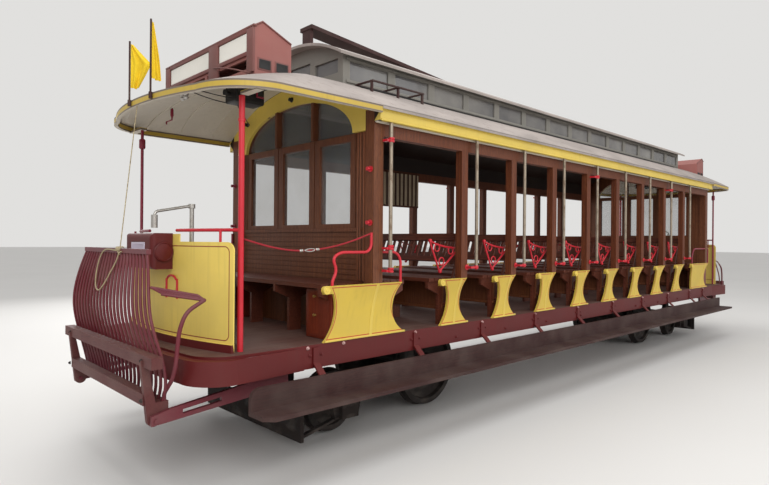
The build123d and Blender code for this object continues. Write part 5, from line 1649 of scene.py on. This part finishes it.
@dataclass
class ArmIronwork:
    """Red openwork irons at both ends of every seat back."""

    y: float = 0.966
    apex: tuple = (-0.105, 1.360)
    front: tuple = (-0.240, 1.632)
    back: tuple = (0.178, 1.572)
    bar: float = 0.009
    sag: float = 0.045
    ring: float = 0.034
    ring_share: float = 0.45
    ring_bar: float = 0.006
    ring_sides: int = 10
    boss: Profile = ((0.017, -0.004), (0.017, 0.012), (0.008, 0.017))

    def iron(self, x: float) -> list[Shape]:
        """One triangle of bars with rings in its corners, on the right side.

        Args:
            x: the axis that it turns about.

        Returns:
            The shapes.
        """
        def at(spot: Sequence[float]) -> Point:
            """A spot of the triangle in the frame."""
            return x + spot[0], -self.y, spot[1]

        def between(first: Sequence[float], second: Sequence[float], share: float) -> tuple[float, float]:
            """A spot part of the way from the first to the second."""
            return tuple(a + (b - a) * share for a, b in zip(first, second))

        corners = (self.apex, self.front, self.back)
        apex, front, back = (at(spot) for spot in corners)
        dip = between(self.front, self.back, 0.5)
        sagging = at((dip[0], dip[1] - self.sag))
        bars = [Shape.bar([apex, at(between(self.apex, self.front, 0.5)), front], self.bar),
                Shape.bar([front, sagging, back], self.bar, bent=True),
                Shape.bar([back, at(between(self.back, self.apex, 0.5)), apex], self.bar)]
        middle = [sum(values) / 3 for values in zip(*corners)]
        for spot in corners:
            centre = between(middle, spot, self.ring_share)
            turns = [math.tau * k / self.ring_sides for k in range(self.ring_sides + 1)]
            ring = [at((centre[0] + self.ring * math.cos(turn), centre[1] + self.ring * math.sin(turn)))
                    for turn in turns]
            bars.append(Shape.bar(ring, self.ring_bar))
            bars.append(Shape.turned(self.boss, at(spot), OUTWARD, 10))
        return bars

    def build(self, dresser: Dresser) -> None:
        """Fits the irons to the seat backs that they turn with."""
        for index, x in enumerate(SEAT_PLACES, start=1):
            dresser.fit(f"arm_irons_{index}", RED, both_sides(self.iron(x)), f"seat_back_{index}")


@dataclass
class DashLoops:
    """Red loops on the dashes."""

    y: tuple = (-0.172, -0.322)
    z: tuple = (1.20, 1.34)
    bar: float = 0.008
    gap: float = 0.006
    bow: tuple = ((0.0, -0.172, 1.338), (-0.002, -0.19, 1.358), (-0.002, -0.247, 1.366),
                  (-0.002, -0.304, 1.358), (0.0, -0.322, 1.338))

    def dash_x(self, y: float, z: float) -> float:
        """The x of a loop that lies on the dash."""
        return surface("front_dash", (-6, y, z), REARWARD).x - self.gap

    def build(self, dresser: Dresser) -> None:
        """Bends a loop on each dash.

        Args:
            dresser: gives the finishes.
        """
        legs = []
        for y in self.y:
            x = self.dash_x(y, self.z[0])
            legs.append(Shape.bar([(x, y, z) for z in self.z], self.bar))
        x = self.dash_x(sum(self.y) / 2, self.z[1])
        legs.append(Shape.bar([(x + step, y, z) for step, y, z in self.bow], self.bar, bent=True))
        dresser.fit("dash_loops", RED, both_ends(legs))


@dataclass
class LampTrim:
    """Round covers and windows of the lamp boxes."""

    cover: Profile = ((0.068, -0.004), (0.070, 0.004), (0.064, 0.008), (0.060, 0.004), (0.05, 0.007),
                      (0.01, 0.012))
    cover_at: Point = (-5.160, -0.2575, 1.535)
    window_low: Point = (-5.2475, -0.128, 1.507)
    window_high: Point = (-5.237, 0.128, 1.603)
    pane: tuple = (0.008, -0.002)

    def build(self, dresser: Dresser) -> None:
        """Fits both lamp boxes.

        Args:
            dresser: gives the finishes.
        """
        covers = [Shape.turned(self.cover, self.cover_at, OUTWARD, 28)]
        dresser.fit("lamp_covers", MAROON, both_ends(both_sides(covers)))
        window = Shape.box(self.window_low, self.window_high, 0.004, 2).inset(FORWARD, *self.pane)
        dresser.fit("lamp_windows", LAMP_GLASS, both_ends([window]))


@dataclass
class PoleFeet:
    """Red balls, flanges and collars where the grab poles are fixed."""

    pole_y: float = -1.135
    pole_step: float = 0.060
    first_pole: float = -3.74
    ball: Profile = ((0.006, -0.021), (0.015, -0.017), (0.021, -0.006), (0.021, 0.006), (0.015, 0.017),
                     (0.006, 0.021))
    ball_z: float = 1.374
    flange: Profile = ((0.026, 0), (0.026, 0.006), (0.016, 0.012))
    flange_at: tuple = (0.036, -1.0795, 1.394)
    collar: Profile = ((0.016, 0), (0.024, 0.003), (0.024, 0.014), (0.018, 0.02), (0.024, 0.026),
                       (0.024, 0.037), (0.016, 0.04))
    first_collars: tuple = (2.392, 1.380, 1.556)
    collared_posts: tuple = (3, 6)

    def build(self, dresser: Dresser) -> None:
        """Sets a ball under each pole's bracket, a flange on each post and the collars.

        Args:
            dresser: gives the finishes.
        """
        poles = [x + REAR_FACE + self.pole_step for x in POST_PLACES]
        step, y, z = self.flange_at
        parts = [Shape.turned(self.ball, (pole, self.pole_y, self.ball_z), UPWARD) for pole in poles]
        parts += [Shape.turned(self.flange, (x + step, y, z), OUTWARD) for x in POST_PLACES]
        collars = [(self.first_pole, height) for height in self.first_collars]
        collars += [(poles[k], self.first_collars[0]) for k in self.collared_posts]
        parts += [Shape.turned(self.collar, (pole, self.pole_y, height), UPWARD) for pole, height in collars]
        dresser.fit("pole_feet", RED, both_sides(parts))


@dataclass
class BoltHeads:
    """Bolts and studs along the sills and the fenders' bolts."""

    head: Profile = ((0.014, 0), (0.014, 0.004), (0.009, 0.007), (0.008, 0.013), (0.004, 0.015))
    sill_y: float = 0.990
    hangers: tuple = (-4.35, -3.30, -2.36, -1.41, -0.47, 0.47, 1.41, 2.36, 3.30, 3.95)
    pair_step: float = 0.05
    pair_z: float = 0.80
    post_z: float = 0.755
    stud_x: tuple = (-4.42, -4.09)
    stud_z: float = 0.855
    sill_end: float = -4.45
    fender_x: float = 5.4925
    fender_y: float = 0.74
    fender_z: tuple = (0.875, 0.63)

    def build(self, dresser: Dresser) -> None:
        """Sets one bolt for each place, copied from the first.

        Args:
            dresser: gives the finishes.
        """
        pair = (-self.pair_step, self.pair_step)
        spots = [(x + step, 0, self.pair_z) for x in self.hangers for step in pair]
        spots += [(x, 0, self.post_z) for x in POST_PLACES]
        spots = [spot for spot in spots if spot[0] > self.sill_end]
        # The studs' pale pink finish is a painted highlight.
        studs = [(x, 0, self.stud_z) for x in (*self.stud_x, *self.hangers[1:])]
        for name, finish, places in (("sill_bolts", MAROON, spots), ("sill_studs", PALE_STUD_HIGHLIGHT, studs)):
            bolt = Shape.turned(self.head, (0, -self.sill_y, 0), OUTWARD, 8)
            dresser.fit(name, finish, both_sides(repeated([bolt], places)))
        places = [(0, side * self.fender_y, z) for side in (-1, 1) for z in self.fender_z]
        for end, side in (("front", -1), ("rear", 1)):
            bolt = Shape.turned(self.head, (side * self.fender_x, 0, 0), (side, 0, 0), 8)
            dresser.fit(f"{end}_fender_bolts", TRUCK_IRON, repeated([bolt], places), f"{end}_fender")


@dataclass
class Mouldings:
    """Half-round strips on the letterboards, under them and along the roof's edges."""

    reach: float = 3.870
    letterboard: tuple = (-1.152, 2.553, 0.010)
    under: tuple = (-1.098, 2.546, 0.012)
    roof_edge: tuple = (-1.172, 2.652, 0.009)

    def build(self, dresser: Dresser) -> None:
        """Runs the strips along both sides.

        Args:
            dresser: gives the finishes.
        """
        strips = (("letterboard_beads", YELLOW, self.letterboard), ("cream_beads", CREAM, self.under),
                  ("roof_edge_beads", DARK_CANVAS, self.roof_edge))
        for name, finish, (y, z, radius) in strips:
            bead = Shape.bar([(-self.reach, y, z), (self.reach, y, z)], radius)
            dresser.fit(name, finish, both_sides([bead]))


@dataclass
class RoofTrim:
    """Window rails along the clerestory and the cable on the roof."""

    reach: float = 3.78
    rail_y: tuple = (-0.632, -0.619)
    rails: tuple = ((2.955, 2.978), (3.146, 3.168))
    cable_start: float = -3.70
    cable_step: float = 0.64
    cable_points: int = 12
    cable_y: float = -0.72
    cable_radius: float = 0.008
    cable_sway: tuple = (0.01, 1.7)

    def build(self, dresser: Dresser) -> None:
        """Lays the rails and the cable.

        Args:
            dresser: gives the finishes.
        """
        outer, inner = self.rail_y
        sway, pace = self.cable_sway
        rails = [Shape.box((-self.reach, outer, low), (self.reach, inner, high), 0.004)
                 for low, high in self.rails]
        dresser.fit("clerestory_rails", FRAME_PAINT, both_sides(rails))
        cable = []
        for index in range(self.cable_points):
            x = self.cable_start + index * self.cable_step
            z = surface("lower_roof", (x, self.cable_y, 4.0), DOWNWARD).z + self.cable_radius
            cable.append((x, self.cable_y - sway * math.sin(index * pace), z))
        dresser.fit("roof_cable", BLACK, [Shape.bar(cable, self.cable_radius, bent=True)])


@dataclass
class Flag:
    """A limp flag hanging in folds from its staff."""

    name: str
    hoist: tuple[float, float]
    along: tuple[float, float]
    outline: Profile
    folds: float
    depth: float
    staff: float = 0.0085
    lean: float = 2.2
    calm: float = 0.35
    droop: float = 0.012
    droop_turn: float = 3.0
    held: float = 4
    cells: tuple = (36, 30)
    thick: float = 0.0016

    def width(self, z: float) -> float:
        """How far the cloth reaches out from the staff at a height.

        Args:
            z: the height.

        Returns:
            The reach.
        """
        for (high, wide), (low, narrow) in zip(self.outline, self.outline[1:]):
            if low <= z <= high:
                return narrow + (wide - narrow) * (z - low) / (high - low)
        return self.outline[-1][1]

    def place(self, share: float, rise: float) -> Point:
        """A point of the cloth: share from the staff outwards, rise from foot to head.

        Args:
            share: how far out, from 0 to 1.
            rise: how far up, from 0 to 1.

        Returns:
            The point.
        """
        top, bottom = self.outline[0][0], self.outline[-1][0]
        z = bottom + (top - bottom) * rise
        out = self.staff + self.width(z) * share
        swing = self.depth * math.sin(math.tau * self.folds * share + self.lean * rise)
        swing *= min(1.0, share * self.held)
        swing *= self.calm + (1 - self.calm) * (1 - rise)
        x = self.hoist[0] + self.along[0] * out - self.along[1] * swing
        y = self.hoist[1] + self.along[1] * out + self.along[0] * swing
        return x, y, z - self.droop * share * math.sin(self.droop_turn * share)

    def build(self, dresser: Dresser) -> None:
        """Args:
            dresser: gives the finishes.
        """
        cloth = Shape.sheet(*self.cells, self.place, self.thick)
        mesh = cloth.object.data
        tall = self.outline[0][0] - self.outline[-1][0]
        spread = sum(face.area for face in mesh.polygons) / 2 / tall
        stretch_map(mesh, spread, tall)
        dresser.fit(self.name, FLAG_CLOTH, [cloth])
        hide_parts("flag_cloths")


def stretch_map(mesh: bpy.types.Mesh, wide: float, tall: float) -> None:
    """Scales a cloth's map from shares to metres."""
    for loop in mesh.uv_layers.active.data:
        loop.uv = (loop.uv[0] * wide, loop.uv[1] * tall)


FLAGS = [
    Flag("left_flag", (-5.2926, 0.060), (0.72, -0.69),
         outline=((3.070, 0.012), (2.925, 0.150), (2.745, 0.060)), folds=2.0, depth=0.014),
    Flag("right_flag", (-5.2752, -0.290), (0.95, 0.31),
         outline=((3.150, 0.010), (2.900, 0.060), (2.755, 0.082)), folds=2.5, depth=0.012),
]


@dataclass
class Curtain:
    """A striped roller curtain, half drawn, with its roller and foot batten."""

    x: tuple = (-1.9475, -1.1605)
    y: float = 0.9917
    roller_z: float = 2.515
    foot: float = 2.085
    roller: float = 0.018
    pin: float = 0.008
    pin_reach: float = 0.02
    wave: float = 0.004
    waves: float = 3.5
    batten: tuple = (0.004, 0.008, 0.012)
    cells: tuple = (40, 24)
    thick: float = 0.0015
    lap: float = 0.0005
    shoulder: float = 0.002

    def place(self, share: float, rise: float) -> Point:
        """A point of the cloth, a little wavy below the roller.

        Args:
            share: how far across, from 0 to 1.
            rise: how far up, from 0 to 1.

        Returns:
            The point.
        """
        wave = self.wave * math.sin(math.tau * self.waves * share) * (1 - rise)
        z = self.foot + (self.roller_z - self.foot) * rise
        return self.x[0] + (self.x[1] - self.x[0]) * share, self.y - self.roller + wave, z

    def build(self, dresser: Dresser) -> None:
        """Args:
            dresser: gives the finishes.
        """
        cloth = Shape.sheet(*self.cells, self.place, self.thick)
        low, high = self.x
        wide, tall = high - low, self.roller_z - self.foot
        stretch_map(cloth.object.data, wide, tall)
        piece = dresser.fit("curtain_cloth", CURTAIN_CLOTH, [cloth])
        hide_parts("curtain")
        body = self.roller - self.lap
        profile = ((self.pin, -self.pin_reach), (self.pin, 0), (body, self.shoulder),
                   (body, wide - self.shoulder), (self.pin, wide), (self.pin, wide + self.pin_reach))
        roller = Shape.turned(profile, (low, self.y, self.roller_z), REARWARD)
        short, thick, tall_half = self.batten
        hang = self.y - self.roller
        batten = Shape.box((low + short, hang - thick, self.foot - tall_half),
                           (high - short, hang + thick, self.foot + tall_half), 0.004)
        fixed = dresser.fit("curtain_roller", BENCH_TIMBER, [roller, batten])
        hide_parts("curtain")


# Camera and studio


@dataclass
class Studio:
    """The floor, the soft lamps and the camera."""

    camera_at: Point = (-6.851, -4.309, 1.624)
    looks_along: Point = (0.692, 0.722, 0.0)
    roll: float = 0.008
    photo_width: int = 769
    photo_height: int = 485
    focal: float = 571.38
    axis_row: float = 241.25
    sensor: float = 36.0
    near: float = 0.05
    far: float = 200.0
    floor_size: float = 240.0
    floor_cloud: float = 3.0
    floor_gloss: float = 0.8
    lamp_aim: float = 1.2
    sky: float = 0.72
    lamps_at: tuple = (("key", (-9.0, -9.0, 7.0), 7.0, 620.0), ("fill", (4.0, -12.0, 6.0), 8.0, 340.0),
                       ("back", (0.0, 10.0, 7.0), 8.0, 600.0), ("top", (-2.0, 0.0, 9.0), 9.0, 500.0))

    def camera(self) -> None:
        """Sets the camera where the photograph was taken from."""
        data = bpy.data.cameras.new("camera")
        data.sensor_width = self.sensor
        data.lens = self.focal / self.photo_width * self.sensor
        data.shift_y = (self.axis_row - self.photo_height / 2) / self.photo_width
        data.clip_start = self.near
        data.clip_end = self.far
        ahead = Vector(self.looks_along).normalized()
        level = ahead.cross(Vector(UPWARD))
        right = level * math.cos(self.roll) + Vector((0, 0, math.sin(self.roll)))
        above = right.cross(ahead)
        made = bpy.data.objects.new("camera", data)
        turn = Matrix((right, above, -ahead)).transposed()
        made.matrix_world = Matrix.Translation(self.camera_at) @ turn.to_4x4()
        bpy.context.scene.collection.objects.link(made)
        bpy.context.scene.camera = made

    def floor(self) -> None:
        """Lays a wide pale floor."""
        deselect()
        bpy.ops.mesh.primitive_plane_add(size=self.floor_size)
        made = bpy.context.object
        made.name = "studio_floor"
        tree = Tree("studio_floor")
        cloud = tree.noise((self.floor_cloud,) * 3, 2.0)
        colour = tree.mix(cloud, Tint(206, 204, 201).linear(), Tint(214, 212, 209).linear())
        made.data.materials.append(tree.shade(colour, self.floor_gloss))

    def lamps(self) -> None:
        """Hangs large soft lamps above and to the sides, and a pale surround."""
        for name, place, size, power in self.lamps_at:
            data = bpy.data.lights.new(name, "AREA")
            data.size = size
            data.energy = power
            made = bpy.data.objects.new(name, data)
            toward = Vector((0, 0, self.lamp_aim)) - Vector(place)
            made.rotation_mode = "QUATERNION"
            made.rotation_quaternion = toward.to_track_quat("-Z", "Y")
            made.location = place
            bpy.context.scene.collection.objects.link(made)
        world = bpy.data.worlds.new("studio_world")
        world.use_nodes = True
        nodes, links = world.node_tree.nodes, world.node_tree.links
        light = nodes["Background"]
        light.inputs["Color"].default_value = (1.0, 1.0, 1.0, 1.0)
        light.inputs["Strength"].default_value = self.sky
        seen = nodes.new("ShaderNodeBackground")
        seen.inputs["Color"].default_value = Tint(224, 223, 221).linear()
        path = nodes.new("ShaderNodeLightPath")
        either = path.outputs["Is Camera Ray"]
        for ray in ("Is Transmission Ray", "Is Glossy Ray"):
            joined = nodes.new("ShaderNodeMath")
            joined.operation = "MAXIMUM"
            links.new(either, joined.inputs[0])
            links.new(path.outputs[ray], joined.inputs[1])
            either = joined.outputs[0]
        blend = nodes.new("ShaderNodeMixShader")
        links.new(either, blend.inputs[0])
        links.new(light.outputs[0], blend.inputs[1])
        links.new(seen.outputs[0], blend.inputs[2])
        links.new(blend.outputs[0], nodes["World Output"].inputs["Surface"])
        bpy.context.scene.world = world

    def build(self) -> None:
        """Sets up the whole studio."""
        self.camera()
        self.floor()
        self.lamps()
        bpy.context.scene.view_settings.view_transform = "Standard"


def main() -> None:
    """Builds the looks of the tram in order."""
    logging.basicConfig(level=logging.INFO, format="%(name)s: %(message)s")
    dresser = Dresser()
    dresser.dress_nodes()
    dresser.dress_roofs()
    dresser.dress_platforms()
    dresser.dress_dashes()
    dresser.dress_seat_ends()
    dresser.dress_bulkheads()
    hook = SnapHook().build(dresser)
    safety = Rope("safety_rope_laid", "safety_rope", "root", SAFETY_ROUTE, radius=0.007, length=1.014,
                  far_end="object", with_pieces=(hook,))
    safety.build(dresser.get(RED_ROPE))
    FenderLine().build(dresser)
    loop = Rope("fender_rope_laid", "fender_rope", "front_fender", FENDER_ROUTE, radius=0.005, length=1.098,
                far_end="object", lay=0.04)
    loop.build(dresser.get(NATURAL_ROPE))
    for part in (SignFace(), HoodRibs(), BreakerBox(), Cranks(), Wiring(), CornerBeads(), StanchionSleeves(),
                 SeatEndTrim(), UnderBenchBoards(), Lockers(), ArmIronwork(), DashLoops(), LampTrim(),
                 PoleFeet(), BoltHeads(), Mouldings(), RoofTrim()):
        part.build(dresser)
    for flag in FLAGS:
        flag.build(dresser)
    Curtain().build(dresser)
    Studio().build()


if __name__ == "__main__":
    main()
